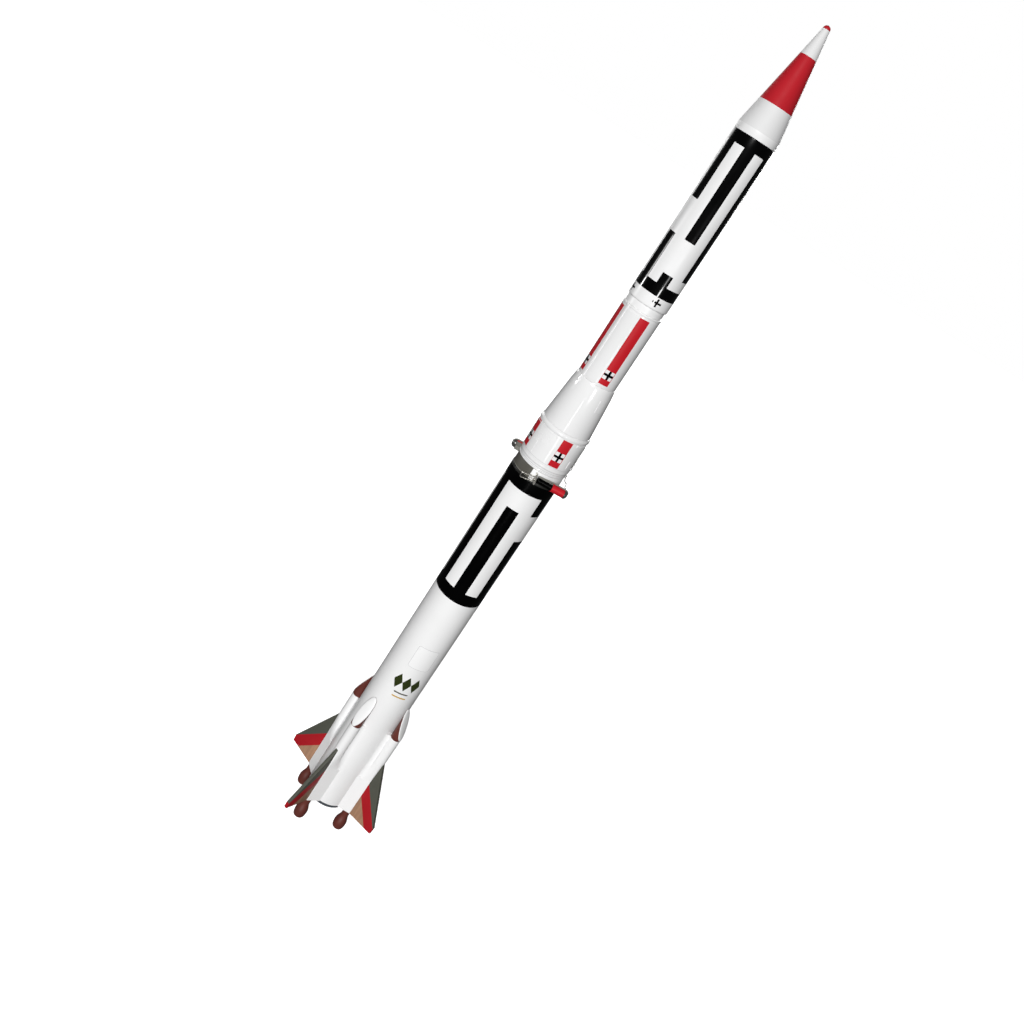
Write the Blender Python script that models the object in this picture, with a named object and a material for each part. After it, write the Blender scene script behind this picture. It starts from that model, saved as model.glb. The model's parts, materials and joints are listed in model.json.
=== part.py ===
"""Flying model of a two-section space rocket, standing on its four nozzles.

Metres, +Z up towards the nose, origin on the floor at the centre of the four nozzles.
The front, where the crosses and the blank label are, faces -Y. An azimuth is measured
from the front towards +X, in degrees.
"""

import math

import bmesh
import bpy
from mathutils import Matrix, Vector

# Driving dimensions
TUBE_R = 0.033            # outer radius of the lower body tube
UPPER_R = 0.0256          # outer radius of the upper body tube
SMALL_R = 0.0251          # outer radius of the short tube under it
TUBE_WALL = 0.0012
UPPER_WALL = 0.0015
GAP = 0.0003              # between pieces that touch
SLIDE_GAP = 0.0004        # between pieces that slide
ROUND = 48                # sides of a large round piece
HIDDEN_ROUND = 32         # sides of a round piece that the tubes cover
SMALL_ROUND = 20          # sides of a small round piece

# Heights above the floor
BASE_RING_Z = 0.0285
TUBE_FOOT_Z = 0.0345
RIM_Z = 0.6043
RING_Z = 0.6073           # recessed ring on top of the lower tube
SPLIT_Z = 0.6215          # where the upper section lifts off
SKIRT_Z = 0.6317
RIDGE_Z = 0.6733
FLARE_Z = 0.6799
SMALL_TUBE_Z = 0.7475
STEP_Z = 0.8447
GROOVE_Z = 0.8477
UPPER_TUBE_Z = 0.8567
NOSE_Z = 1.0665           # where the nose cone pulls off
TIP_Z = 1.1940
TOP_Z = 1.1983
SPIGOT_Z = 0.5665         # foot of the recessed ring's spigot, inside the lower tube
COUPLER_Z = 0.5615        # foot of the upper section's coupler
SHOULDER = 0.0480         # length of the nose cone's shoulder
JOINER_REACH = 0.0220     # reach of the groove ring into the tube on each side
NOSE_BAND = 0.0084        # height of the straight band at the nose cone's foot
NOSE_SOLID = 0.0200       # solid length of plastic at the nose cone's top
NOSE_WALL = 0.0020
SHOULDER_WALL = 0.0016

# Outside of the skirt's lip, from its foot up: radius, height above the split
LIP_OUTLINE = (
    (0.0327, 0.0000),
    (0.0330, 0.0016),
    (0.0326, 0.0034),
    (0.0329, 0.0052),
    (0.0329, 0.0070),
    (0.0336, 0.0084),
)

# Rounding of the flare into the short tube: radius, distance below the flare's top
FLARE_ROUNDING = (
    (0.0275, 0.0126),
    (0.0268, 0.0078),
    (0.0262, 0.0030),
)

# Radii and walls of the turned pieces
RING_R = 0.0307           # recessed ring
RING_BORE_R = 0.0290      # bore that the upper section's coupler slides in
RIM_R = 0.0332            # grey rim on top of the lower tube
RIM_SEAT = 0.0011         # how far the spigot's neck stands back under the rim
SKIRT_R = 0.0337
RIDGE_R = 0.0339
RIDGE_FOOT = 0.0012       # height of the ridge's lower slope
RIDGE_HEAD = 0.0018       # height of its upper slope
FLARE_LOW_R = 0.0323
FLARE_TOP_R = 0.0254
SMALL_WALL = 0.0011       # wall of the short tube
STEP_R = 0.0254           # thin ring on top of the short tube
GROOVE_R = 0.0240
JOINER_WALL = 0.0014      # wall of the coupler and the groove ring's spigots
NOSE_TIP_R = 0.0043
RACEWAY_AZIMUTH = -65.0
RACEWAY_HALF = 0.0022     # half width
RACEWAY_RISE = 0.0010     # height above the short tube
RACEWAY_MARGIN = 0.0006   # distance from the tube's ends

# Pods, fins and nozzles, in the plane through the rocket's axis: radius and height
POD_AZIMUTHS = (-45.0, 45.0, 135.0, -135.0)
POD_AXIS_R = 0.0417
POD_R = 0.0077
POD_FOOT_HALF = 0.0114    # half width of the pod's foot on the tube
POD_REACH = 132.0         # how far round the pod's circle its outline goes, in degrees from its ridge
POD_WAIST = 0.38          # share of the way from the circle to the foot where the outline bends
POD_WAIST_DROP = 0.0028
POD_STEPS = 12
FOOT_STEPS = 6
POD_JOIN_Z = 0.1787       # brown nose above, white body below
POD_CUT_LOW_Z = 0.1777    # slanted face, at the pod's outer ridge
POD_CUT_HIGH_Z = 0.2239   # slanted face, at the pod's inner side
POD_TAPER_Z = 0.1335      # the white body narrows from here down to the fairing
FAIRING_TOP_Z = 0.0972
FAIRING_FOOT_Z = 0.0331
FAIRING_RIDGE_R = 0.0479
FAIRING_RIDGE_HALF = 0.0027
FAIRING_BASE_HALF = 0.0119
FAIRING_FLANK_R = 0.0365  # where the flat flank of the pod's lower end meets its foot
FAIRING_FLANK_HALF = 0.0088
FLANK_START = 0.25        # share of the outline's reach that the ridge takes up
COVER_MARGIN = 0.0003     # the oval plate stands back from the pod's edge
COVER_LIFT = 0.0016       # the slanted face lies this far above its named heights
FIN_HALF = 0.00225        # half thickness
FIN_TIP_R = 0.0889        # lower corner of the clipped tip
FIN_TIP_Z = 0.0378
FIN_CLIP_R = 0.0893       # upper corner of the clipped tip
FIN_CLIP_Z = 0.0483
FIN_FOOT_Z = 0.0331
NOZZLE_NECK_R = 0.0054
NOZZLE_BELLY_R = 0.0089
NOZZLE_NECK_Z = 0.0255
NOZZLE_BELLY_Z = 0.0098
NOZZLE_LIP_R = 0.0070
NOZZLE_MOUTH_R = 0.0054
NOZZLE_THROAT_Z = 0.0140

# Crown of the oval plate on a pod's slanted face: share of its size, rise
COVER_RINGS = (
    (1.00, 0.0000),
    (1.00, 0.0004),
    (0.85, 0.0009),
    (0.50, 0.0013),
    (0.00, 0.0015),
)

# Clamp joint on the recessed ring: two alike assemblies, half a turn apart
CLAMP_AZIMUTHS = (-10.0, 170.0)
CLAMP_R = 0.0360          # distance of the bolt's line from the rocket's axis
CLAMP_Z = 0.6134
SLEEVE_R = 0.0052
SLEEVE_START = 0.0185     # along the bolt's line, from its middle
SLEEVE_END = 0.0352
CAP_END = 0.0402
BARREL_R = 0.0044
BARREL_START = -0.0014
ROD_R = 0.0008
ROD_END = 0.0345
FITTING_BACK = 0.0335     # from the rocket's axis
FITTING_FRONT = 0.0385
STRAP_START = -0.0222     # along the bolt's line
STRAP_HALF = 0.0039
STRAP_DROP = 0.0021       # the strap slopes down by this much towards its free end
STRAP_MIDDLE = -0.0015    # its middle at the block, from the bolt's line
BLOCK_START = -0.0052
BLOCK_END = -0.0017
BLOCK_LOW = -0.0080       # from the bolt's line, along the rocket's axis
BLOCK_HIGH = 0.0070
SLOT_START = -0.0208
SLOT_HALF = 0.0023
BRACKET_LOW = -0.0032     # steel saddle between ring and sleeve, from the bolt's line
BRACKET_HIGH = 0.0050     # at the sleeve
BRACKET_FALL = 0.42       # how steeply its top falls towards the ring
BRACKET_FOOT = (30.0, 39.0)   # where it meets the ring, in degrees from the clamp's azimuth
BRACKET_START = 0.0190    # along the bolt's line
BRACKET_END = 0.0355
BRACKET_STEPS = 3

# Motor
MOTOR_R = 0.0145
MOTOR_FOOT_Z = 0.0315
MOTOR_LENGTH = 0.124
MOTOR_MOUTH_R = 0.0062
MOTOR_THROAT_R = 0.0024
MOTOR_THROAT_DEPTH = 0.0120
BASE_RING_BORE_R = 0.0270
BASE_RING_TOP_Z = 0.0585
PLATE_Z = 0.0405
PLATE_THICK = 0.0040
UPPER_PLATE_Z = 0.1265

# Colours: red, green, blue
WHITE = (0.84, 0.84, 0.83)
BLACK = (0.012, 0.012, 0.013)
RED = (0.52, 0.022, 0.034)
BROWN = (0.105, 0.025, 0.018)
FIN_GREY = (0.075, 0.077, 0.062)
SLATE = (0.060, 0.068, 0.078)
STEEL = (0.42, 0.41, 0.38)
DARK_STEEL = (0.20, 0.21, 0.20)
CARD = (0.36, 0.27, 0.18)

materials = {}


def clear_scene():
    for obj in list(bpy.data.objects):
        bpy.data.objects.remove(obj, do_unlink=True)


def material(name, colour, roughness, metallic=0.0):
    """A plain Principled material, made once for each name."""
    if name in materials:
        return materials[name]
    made = bpy.data.materials.new(name)
    made.use_nodes = True
    shader = made.node_tree.nodes["Principled BSDF"]
    shader.inputs["Base Color"].default_value = (*colour, 1.0)
    shader.inputs["Roughness"].default_value = roughness
    shader.inputs["Metallic"].default_value = metallic
    made.diffuse_color = (*colour, 1.0)
    materials[name] = made
    return made


def white_paint():
    return material("white_paint", WHITE, 0.35)


def brown_plastic():
    return material("brown_plastic", BROWN, 0.45)


def steel():
    return material("steel", STEEL, 0.3, 1.0)


def dark_steel():
    return material("dark_steel", DARK_STEEL, 0.35, 1.0)


def empty(name, azimuth=0.0, parent=None):
    """An empty on the rocket's axis, which carries pieces turned to an azimuth."""
    made = bpy.data.objects.new(name, None)
    made.empty_display_size = 0.02
    made.rotation_euler = (0.0, 0.0, math.radians(azimuth))
    made.parent = parent
    bpy.context.collection.objects.link(made)
    return made


def finish(name, bm, finish_material, parent, location=(0.0, 0.0, 0.0), sharp=30.0):
    """Turn a bmesh into a named object with outward faces and smooth round sides."""
    bmesh.ops.recalc_face_normals(bm, faces=bm.faces)
    mesh = bpy.data.meshes.new(name)
    bm.to_mesh(mesh)
    bm.free()
    mesh.shade_smooth()
    mesh.set_sharp_from_angle(angle=math.radians(sharp))
    mesh.materials.append(finish_material)
    made = bpy.data.objects.new(name, mesh)
    made.location = location
    made.parent = parent
    bpy.context.collection.objects.link(made)
    return made


def turned(profile, sides):
    """A closed body turned about Z from a closed outline of (radius, height) points.

    A point on the axis becomes one vertex; the outline's edge along the axis is left out.
    """
    bm = bmesh.new()
    rings = []
    for radius, height in profile:
        if radius < 1e-7:
            rings.append([bm.verts.new((0.0, 0.0, height))])
            continue
        turns = [math.tau * i / sides for i in range(sides)]
        rings.append([bm.verts.new((radius * math.sin(t), -radius * math.cos(t), height)) for t in turns])
    for here, there in zip(rings, rings[1:] + rings[:1]):
        if len(here) == 1 and len(there) == 1:
            continue
        for i in range(sides):
            j = (i + 1) % sides
            if len(here) == 1:
                bm.faces.new((here[0], there[i], there[j]))
            elif len(there) == 1:
                bm.faces.new((here[i], there[0], here[j]))
            else:
                bm.faces.new((here[i], there[i], there[j], here[j]))
    return bm


def tube_profile(outer, inner, height):
    return [(outer, 0.0), (outer, height), (inner, height), (inner, 0.0)]


def tube(name, outer, inner, low, high, finish_material, parent, sides=ROUND):
    """A plain tube between two heights."""
    bm = turned(tube_profile(outer, inner, high - low), sides)
    return finish(name, bm, finish_material, parent, (0.0, 0.0, low))


def loft(sections):
    """A closed body through like outlines; each section is (height, [(across, out), ...]).

    Across runs along +X and out runs along -Y, away from the rocket's axis.
    """
    bm = bmesh.new()
    rings = []
    for height, outline in sections:
        rings.append([bm.verts.new((across, -out, height)) for across, out in outline])
    for here, there in zip(rings, rings[1:]):
        count = len(here)
        for i in range(count):
            j = (i + 1) % count
            bm.faces.new((here[i], here[j], there[j], there[i]))
    bm.faces.new(rings[0])
    bm.faces.new(rings[-1])
    bmesh.ops.triangulate(bm, faces=[face for face in bm.faces if len(face.verts) > 4])
    return bm


def foot_arc(half_width, steps):
    """Points on the tube's surface, from +half_width to -half_width, for the underside of a foot."""
    reach = math.asin(half_width / (TUBE_R + GAP))
    angles = [reach - 2.0 * reach * i / steps for i in range(steps + 1)]
    return [((TUBE_R + GAP) * math.sin(a), (TUBE_R + GAP) * math.cos(a)) for a in angles]


# Pods

def pod_outline(wedge):
    """Half round pod on a foot that sweeps out onto the tube.

    Without wedge it is the round pod, with it the outline has the fairing's ridge and flat flanks.
    """
    reach = math.radians(POD_REACH)
    points = []
    for i in range(POD_STEPS + 1):
        turn = -reach + 2.0 * reach * i / POD_STEPS
        if not wedge:
            points.append((POD_R * math.sin(turn), POD_AXIS_R + POD_R * math.cos(turn)))
            continue
        round_share = abs(turn) / reach
        down = max(0.0, (round_share - FLANK_START) / (1.0 - FLANK_START))
        out = FAIRING_RIDGE_R + (FAIRING_FLANK_R - FAIRING_RIDGE_R) * down
        across = FAIRING_RIDGE_HALF + (FAIRING_FLANK_HALF - FAIRING_RIDGE_HALF) * down
        if round_share < FLANK_START:
            across = FAIRING_RIDGE_HALF * round_share / FLANK_START
        points.append((math.copysign(across, turn), out))
    last_across, last_out = points[-1]
    waist = last_across + (POD_FOOT_HALF - last_across) * POD_WAIST
    points.append((waist, last_out - POD_WAIST_DROP))
    points += foot_arc(POD_FOOT_HALF, FOOT_STEPS)
    points.append((-waist, last_out - POD_WAIST_DROP))
    return points


def pod_cut_height(out):
    """Height of the slanted face at a distance from the rocket's axis."""
    slope = (POD_CUT_HIGH_Z - POD_CUT_LOW_Z) / (2.0 * POD_R)
    return POD_CUT_LOW_Z + slope * (POD_AXIS_R + POD_R - out)


def pod_cut_normal():
    slope = (POD_CUT_HIGH_Z - POD_CUT_LOW_Z) / (2.0 * POD_R)
    return Vector((0.0, -slope, 1.0)).normalized()


def make_pod_nose(name, parent):
    """Round upper end of a pod, sliced by a slanted plane that faces up and out."""
    turns = [math.tau * i / SMALL_ROUND for i in range(SMALL_ROUND)]
    outline = [(POD_R * math.sin(turn), POD_AXIS_R + POD_R * math.cos(turn)) for turn in turns]
    top = pod_cut_height(TUBE_R - TUBE_WALL) + COVER_LIFT
    bm = loft([(POD_JOIN_Z + GAP, outline), (top, outline)])
    point = Vector((0.0, -(POD_AXIS_R + POD_R), POD_CUT_LOW_Z + COVER_LIFT))
    geometry = bm.verts[:] + bm.edges[:] + bm.faces[:]
    cut = bmesh.ops.bisect_plane(
        bm, geom=geometry, plane_co=point, plane_no=pod_cut_normal(), clear_outer=True
    )
    edges = [item for item in cut["geom_cut"] if isinstance(item, bmesh.types.BMEdge)]
    bmesh.ops.contextual_create(bm, geom=edges)
    bmesh.ops.triangulate(bm, faces=[face for face in bm.faces if len(face.verts) > 4])
    return finish(name, bm, brown_plastic(), parent)


def make_pod_cover(name, parent):
    """Oval plate on the slanted face, crowned towards its middle."""
    slope = (POD_CUT_HIGH_Z - POD_CUT_LOW_Z) / (2.0 * POD_R)
    half_wide = POD_R - COVER_MARGIN
    half_long = half_wide * math.hypot(1.0, slope)
    bm = bmesh.new()
    loops = []
    for share, rise in COVER_RINGS:
        if share == 0.0:
            loops.append([bm.verts.new((0.0, 0.0, rise))])
            continue
        wide = half_wide * share
        long = half_long * share
        turns = [math.tau * i / SMALL_ROUND for i in range(SMALL_ROUND)]
        loops.append([bm.verts.new((wide * math.sin(t), long * math.cos(t), rise)) for t in turns])
    bm.faces.new(loops[0])
    for here, there in zip(loops, loops[1:]):
        for i in range(SMALL_ROUND):
            j = (i + 1) % SMALL_ROUND
            if len(there) == 1:
                bm.faces.new((here[i], here[j], there[0]))
            else:
                bm.faces.new((here[i], here[j], there[j], there[i]))
    bmesh.ops.triangulate(bm, faces=[face for face in bm.faces if len(face.verts) > 4])
    normal = pod_cut_normal()
    across = Vector((1.0, 0.0, 0.0))
    along = normal.cross(across)
    turn = Matrix((across, along, normal)).transposed().to_4x4()
    centre = Vector((0.0, -POD_AXIS_R, pod_cut_height(POD_AXIS_R) + COVER_LIFT))
    bmesh.ops.transform(bm, matrix=Matrix.Translation(centre + normal * GAP) @ turn, verts=bm.verts)
    return finish(name, bm, white_paint(), parent)


def make_pod_body(name, parent):
    """Round pod body, which narrows to the fairing's ridge at its lower end."""
    bm = loft([
        (FAIRING_TOP_Z + GAP, pod_outline(True)),
        (POD_TAPER_Z, pod_outline(False)),
        (POD_JOIN_Z, pod_outline(False)),
    ])
    return finish(name, bm, white_paint(), parent)


def make_fairing(name, parent):
    """Flat-sided block that carries the fin and the nozzle."""
    outline = [
        (-FAIRING_RIDGE_HALF, FAIRING_RIDGE_R),
        (FAIRING_RIDGE_HALF, FAIRING_RIDGE_R),
    ] + foot_arc(FAIRING_BASE_HALF, FOOT_STEPS)
    bm = loft([(FAIRING_FOOT_Z, outline), (FAIRING_TOP_Z, outline)])
    return finish(name, bm, white_paint(), parent)


def make_fin(name, parent):
    """Swept fin with a clipped tip, standing on the pod's ridge and the fairing's."""
    ridge = POD_AXIS_R + POD_R + GAP
    # out, height
    outline = [
        (FAIRING_RIDGE_R + GAP, FIN_FOOT_Z),
        (FIN_TIP_R, FIN_TIP_Z),
        (FIN_CLIP_R, FIN_CLIP_Z),
        (ridge, POD_TAPER_Z),
        (FAIRING_RIDGE_R + GAP, FAIRING_TOP_Z),
    ]
    bm = bmesh.new()
    sides = []
    for across in (-FIN_HALF, FIN_HALF):
        sides.append([bm.verts.new((across, -out, height)) for out, height in outline])
    count = len(outline)
    for i in range(count):
        j = (i + 1) % count
        bm.faces.new((sides[0][i], sides[0][j], sides[1][j], sides[1][i]))
    bm.faces.new(sides[0])
    bm.faces.new(sides[1])
    bmesh.ops.triangulate(bm, faces=[face for face in bm.faces if len(face.verts) > 4])
    return finish(name, bm, material("fin_paint", FIN_GREY, 0.4), parent)


def nozzle_profile():
    """Neck, swelling belly, rounded lip and a hollow mouth, from the top down."""
    points = [(0.0, FAIRING_FOOT_Z - GAP), (NOZZLE_NECK_R, FAIRING_FOOT_Z - GAP)]
    swell = 7
    for i in range(swell + 1):
        share = i / swell
        ease = share * share * (3.0 - 2.0 * share)
        radius = NOZZLE_NECK_R + (NOZZLE_BELLY_R - NOZZLE_NECK_R) * ease
        points.append((radius, NOZZLE_NECK_Z + (NOZZLE_BELLY_Z - NOZZLE_NECK_Z) * share))
    rounding = 5
    for i in range(1, rounding + 1):
        turn = math.pi / 2.0 * i / rounding
        radius = NOZZLE_LIP_R + (NOZZLE_BELLY_R - NOZZLE_LIP_R) * math.cos(turn)
        points.append((radius, NOZZLE_BELLY_Z * (1.0 - math.sin(turn))))
    points += [(NOZZLE_MOUTH_R, 0.0), (NOZZLE_MOUTH_R * 0.45, NOZZLE_THROAT_Z), (0.0, NOZZLE_THROAT_Z)]
    return points


def make_nozzle(name, parent):
    bm = turned(nozzle_profile(), SMALL_ROUND)
    return finish(name, bm, brown_plastic(), parent, (0.0, -POD_AXIS_R, 0.0), 50.0)


def make_pods(parent):
    for number, azimuth in enumerate(POD_AZIMUTHS, start=1):
        carrier = empty(f"pod_{number}", azimuth, parent)
        make_pod_nose(f"pod_nose_{number}", carrier)
        make_pod_cover(f"pod_cover_{number}", carrier)
        make_pod_body(f"pod_body_{number}", carrier)
        make_fairing(f"fin_fairing_{number}", carrier)
        make_fin(f"fin_{number}", carrier)
        make_nozzle(f"nozzle_{number}", carrier)


# Clamp joint

def along_x(bm, start, out, height):
    """Lay a body that was turned about Z along +X, its foot at start."""
    turn = Matrix.Rotation(math.radians(90.0), 4, "Y")
    bmesh.ops.transform(bm, matrix=Matrix.Translation((start, -out, height)) @ turn, verts=bm.verts)
    return bm


def make_clamp_fitting(name, parent):
    """Steel strap with a long slot, ending in a tall block that holds the bolt."""
    # along the bolt, height above the bolt's line
    outline = [
        (STRAP_START, STRAP_MIDDLE - STRAP_DROP - STRAP_HALF),
        (BLOCK_START, STRAP_MIDDLE - STRAP_HALF),
        (BLOCK_START, BLOCK_LOW),
        (BLOCK_END, BLOCK_LOW),
        (BLOCK_END, BLOCK_HIGH),
        (BLOCK_START, BLOCK_HIGH),
        (BLOCK_START, STRAP_MIDDLE + STRAP_HALF),
        (STRAP_START, STRAP_MIDDLE - STRAP_DROP + STRAP_HALF),
    ]
    bm = bmesh.new()
    back = [bm.verts.new((along, -FITTING_BACK, CLAMP_Z + height)) for along, height in outline]
    face = bm.faces.new(back)
    grown = bmesh.ops.extrude_face_region(bm, geom=[face])
    moved = [item for item in grown["geom"] if isinstance(item, bmesh.types.BMVert)]
    bmesh.ops.translate(bm, verts=moved, vec=(0.0, FITTING_BACK - FITTING_FRONT, 0.0))
    fitting = finish(name, bm, steel(), parent)
    slot = bmesh.new()
    slope = STRAP_DROP / (BLOCK_START - STRAP_START)
    height = CLAMP_Z + STRAP_MIDDLE - slope * (BLOCK_START - SLOT_START) / 2.0
    middle = Matrix.Translation(((SLOT_START + BLOCK_START) / 2.0, -FITTING_BACK, height))
    tilt = Matrix.Rotation(-math.atan(slope), 4, "Y")
    depth = 4.0 * (FITTING_FRONT - FITTING_BACK)
    size = Matrix.Diagonal((BLOCK_START - SLOT_START, depth, 2.0 * SLOT_HALF, 1.0))
    bmesh.ops.create_cube(slot, size=1.0, matrix=middle @ tilt @ size)
    cutter = finish(f"{name}_slot", slot, steel(), parent)
    cutter.hide_render = True
    cutter.display_type = "WIRE"
    cut = fitting.modifiers.new("slot", "BOOLEAN")
    cut.operation = "DIFFERENCE"
    cut.object = cutter


def make_clamp_bracket(name, parent):
    """Steel saddle that carries the sleeve on the ring's side."""
    surface = RING_R + GAP
    sleeve = CLAMP_R - SLEEVE_R - GAP
    first, last = BRACKET_FOOT
    inner = surface * math.cos(math.radians(last))
    outline = [(BRACKET_START, sleeve), (BRACKET_END, sleeve), (BRACKET_END, inner)]
    for i in range(BRACKET_STEPS + 1):
        turn = math.radians(last + (first - last) * i / BRACKET_STEPS)
        outline.append((surface * math.sin(turn), surface * math.cos(turn)))
    bm = loft([(CLAMP_Z + BRACKET_LOW, outline), (CLAMP_Z + BRACKET_HIGH, outline)])
    for vert in bm.verts:
        if vert.co.z > CLAMP_Z:
            vert.co.z -= BRACKET_FALL * (sleeve + vert.co.y)
    finish(name, bm, steel(), parent)


def rod_profile(radius, length):
    return [(0.0, 0.0), (radius, 0.0), (radius, length), (0.0, length)]


def make_clamp(number, azimuth, parent):
    """Fitting, bracket, dark barrel, red sleeve, domed cap and thin rod, in line across the ring."""
    carrier = empty(f"clamp_{number}", azimuth, parent)
    make_clamp_fitting(f"clamp_fitting_{number}", carrier)
    make_clamp_bracket(f"clamp_bracket_{number}", carrier)
    barrel = turned(rod_profile(BARREL_R, SLEEVE_START - BARREL_START - GAP), SMALL_ROUND)
    along_x(barrel, BARREL_START, CLAMP_R, CLAMP_Z)
    finish(f"clamp_barrel_{number}", barrel, material("black_paint", BLACK, 0.35), carrier)
    sleeve = turned(rod_profile(SLEEVE_R, SLEEVE_END - SLEEVE_START), SMALL_ROUND)
    along_x(sleeve, SLEEVE_START, CLAMP_R, CLAMP_Z)
    finish(f"clamp_sleeve_{number}", sleeve, material("red_paint", RED, 0.35), carrier)
    length = CAP_END - SLEEVE_END - GAP
    dome = [(0.0, 0.0), (SLEEVE_R, 0.0)]
    for i in range(5):
        turn = math.pi / 2.0 * i / 5
        dome.append((SLEEVE_R * math.cos(turn), length * (0.35 + 0.65 * math.sin(turn))))
    cap = turned(dome + [(0.0, length)], SMALL_ROUND)
    along_x(cap, SLEEVE_END + GAP, CLAMP_R, CLAMP_Z)
    finish(f"clamp_cap_{number}", cap, dark_steel(), carrier)
    rod = turned(rod_profile(ROD_R, ROD_END - BARREL_START), 10)
    along_x(rod, BARREL_START, CLAMP_R, CLAMP_Z + SLEEVE_R + GAP + ROD_R)
    finish(f"clamp_rod_{number}", rod, steel(), carrier)


# Lower section

def make_lower_tube(parent):
    tube("lower_tube", TUBE_R, TUBE_R - TUBE_WALL, TUBE_FOOT_Z, RIM_Z - GAP, white_paint(), parent)
    neck_r = RING_BORE_R + RIM_SEAT
    tube("tube_rim", RIM_R, neck_r + GAP, RIM_Z, RING_Z - GAP, material("grey_paint", FIN_GREY, 0.4), parent)
    spigot_r = TUBE_R - TUBE_WALL - GAP
    ring_top = SPLIT_Z - GAP - SPIGOT_Z
    ring_foot = RING_Z - SPIGOT_Z
    spigot_top = RIM_Z - GAP - SPIGOT_Z
    profile = [
        (RING_BORE_R, 0.0),
        (RING_BORE_R, ring_top),
        (RING_R, ring_top),
        (RING_R, ring_foot),
        (neck_r, ring_foot),
        (neck_r, spigot_top),
        (spigot_r, spigot_top),
        (spigot_r, 0.0),
    ]
    finish("interstage_ring", turned(profile, ROUND), white_paint(), parent, (0.0, 0.0, SPIGOT_Z))


def make_motor(parent):
    """Dark ring at the tube's foot, the plate inside it and the motor that the plate holds."""
    slate = material("slate_paint", SLATE, 0.4)
    bore = TUBE_R - TUBE_WALL - GAP
    tube("base_ring", bore, BASE_RING_BORE_R, BASE_RING_Z, BASE_RING_TOP_Z, slate, parent)
    plywood = material("plywood", CARD, 0.7)
    tube("motor_plate", BASE_RING_BORE_R - GAP, MOTOR_R + GAP, PLATE_Z, PLATE_Z + PLATE_THICK,
         plywood, parent, HIDDEN_ROUND)
    tube("upper_plate", bore, MOTOR_R + GAP, UPPER_PLATE_Z, UPPER_PLATE_Z + PLATE_THICK,
         plywood, parent, HIDDEN_ROUND)
    profile = [
        (0.0, MOTOR_THROAT_DEPTH),
        (MOTOR_THROAT_R, MOTOR_THROAT_DEPTH),
        (MOTOR_MOUTH_R, 0.0),
        (MOTOR_R, 0.0),
        (MOTOR_R, MOTOR_LENGTH),
        (0.0, MOTOR_LENGTH),
    ]
    card = material("card", CARD, 0.7)
    finish("motor", turned(profile, SMALL_ROUND), card, parent, (0.0, 0.0, MOTOR_FOOT_Z))


# Upper section

def make_skirt(parent):
    """Ribbed lip, straight skirt and rounded ridge, at the foot of the upper section."""
    white = white_paint()
    coupler_r = RING_BORE_R - SLIDE_GAP
    tube("stage_coupler", coupler_r, coupler_r - JOINER_WALL, COUPLER_Z, SKIRT_Z - GAP,
         material("card", CARD, 0.7), parent)
    height = SKIRT_Z - GAP - SPLIT_Z
    lip = [(coupler_r + GAP, 0.0), *LIP_OUTLINE, (LIP_OUTLINE[-1][0], height), (coupler_r + GAP, height)]
    finish("skirt_lip", turned(lip, ROUND), white, parent, (0.0, 0.0, SPLIT_Z), 20.0)
    tube("skirt", SKIRT_R, SKIRT_R - TUBE_WALL, SKIRT_Z, RIDGE_Z - GAP, white, parent)
    rise = FLARE_Z - GAP - RIDGE_Z
    ridge = [
        (FLARE_LOW_R - TUBE_WALL, 0.0),
        (SKIRT_R, 0.0),
        (RIDGE_R, RIDGE_FOOT),
        (RIDGE_R, rise - RIDGE_HEAD),
        (FLARE_LOW_R, rise),
        (FLARE_LOW_R - TUBE_WALL, rise),
    ]
    finish("skirt_ridge", turned(ridge, ROUND), white, parent, (0.0, 0.0, RIDGE_Z), 20.0)


def make_flare(parent):
    """Conical shell from the skirt to the short tube, rounded at its top."""
    rise = SMALL_TUBE_Z - GAP - FLARE_Z
    rounding = [(radius, rise - below) for radius, below in FLARE_ROUNDING]
    outside = [(FLARE_LOW_R, 0.0), *rounding, (FLARE_TOP_R, rise)]
    inside = [(radius - TUBE_WALL, height) for radius, height in reversed(outside)]
    finish("flare", turned(outside + inside, ROUND), white_paint(), parent, (0.0, 0.0, FLARE_Z), 12.0)


def make_groove_ring(parent):
    """Joiner of the two upper tubes: a spigot in each, and the narrow band that shows between them."""
    spigot_r = SMALL_R - SMALL_WALL - GAP
    bore_r = spigot_r - JOINER_WALL
    band_top = JOINER_REACH + UPPER_TUBE_Z - GAP - GROOVE_Z
    top = 2.0 * JOINER_REACH + UPPER_TUBE_Z - GROOVE_Z
    profile = [
        (bore_r, 0.0),
        (spigot_r, 0.0),
        (spigot_r, JOINER_REACH),
        (GROOVE_R, JOINER_REACH),
        (GROOVE_R, band_top),
        (spigot_r, band_top),
        (spigot_r, top),
        (bore_r, top),
    ]
    finish("groove_ring", turned(profile, ROUND), white_paint(), parent, (0.0, 0.0, GROOVE_Z - JOINER_REACH))


def make_upper_section(parent):
    white = white_paint()
    small_bore_r = SMALL_R - SMALL_WALL
    make_skirt(parent)
    make_flare(parent)
    tube("small_tube", SMALL_R, small_bore_r, SMALL_TUBE_Z, STEP_Z - GAP, white, parent)
    make_raceway(parent)
    tube("step_ring", STEP_R, small_bore_r, STEP_Z, GROOVE_Z - GAP, white, parent)
    make_groove_ring(parent)
    tube("upper_tube", UPPER_R, UPPER_R - UPPER_WALL, UPPER_TUBE_Z, NOSE_Z - GAP, white, parent)


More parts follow.
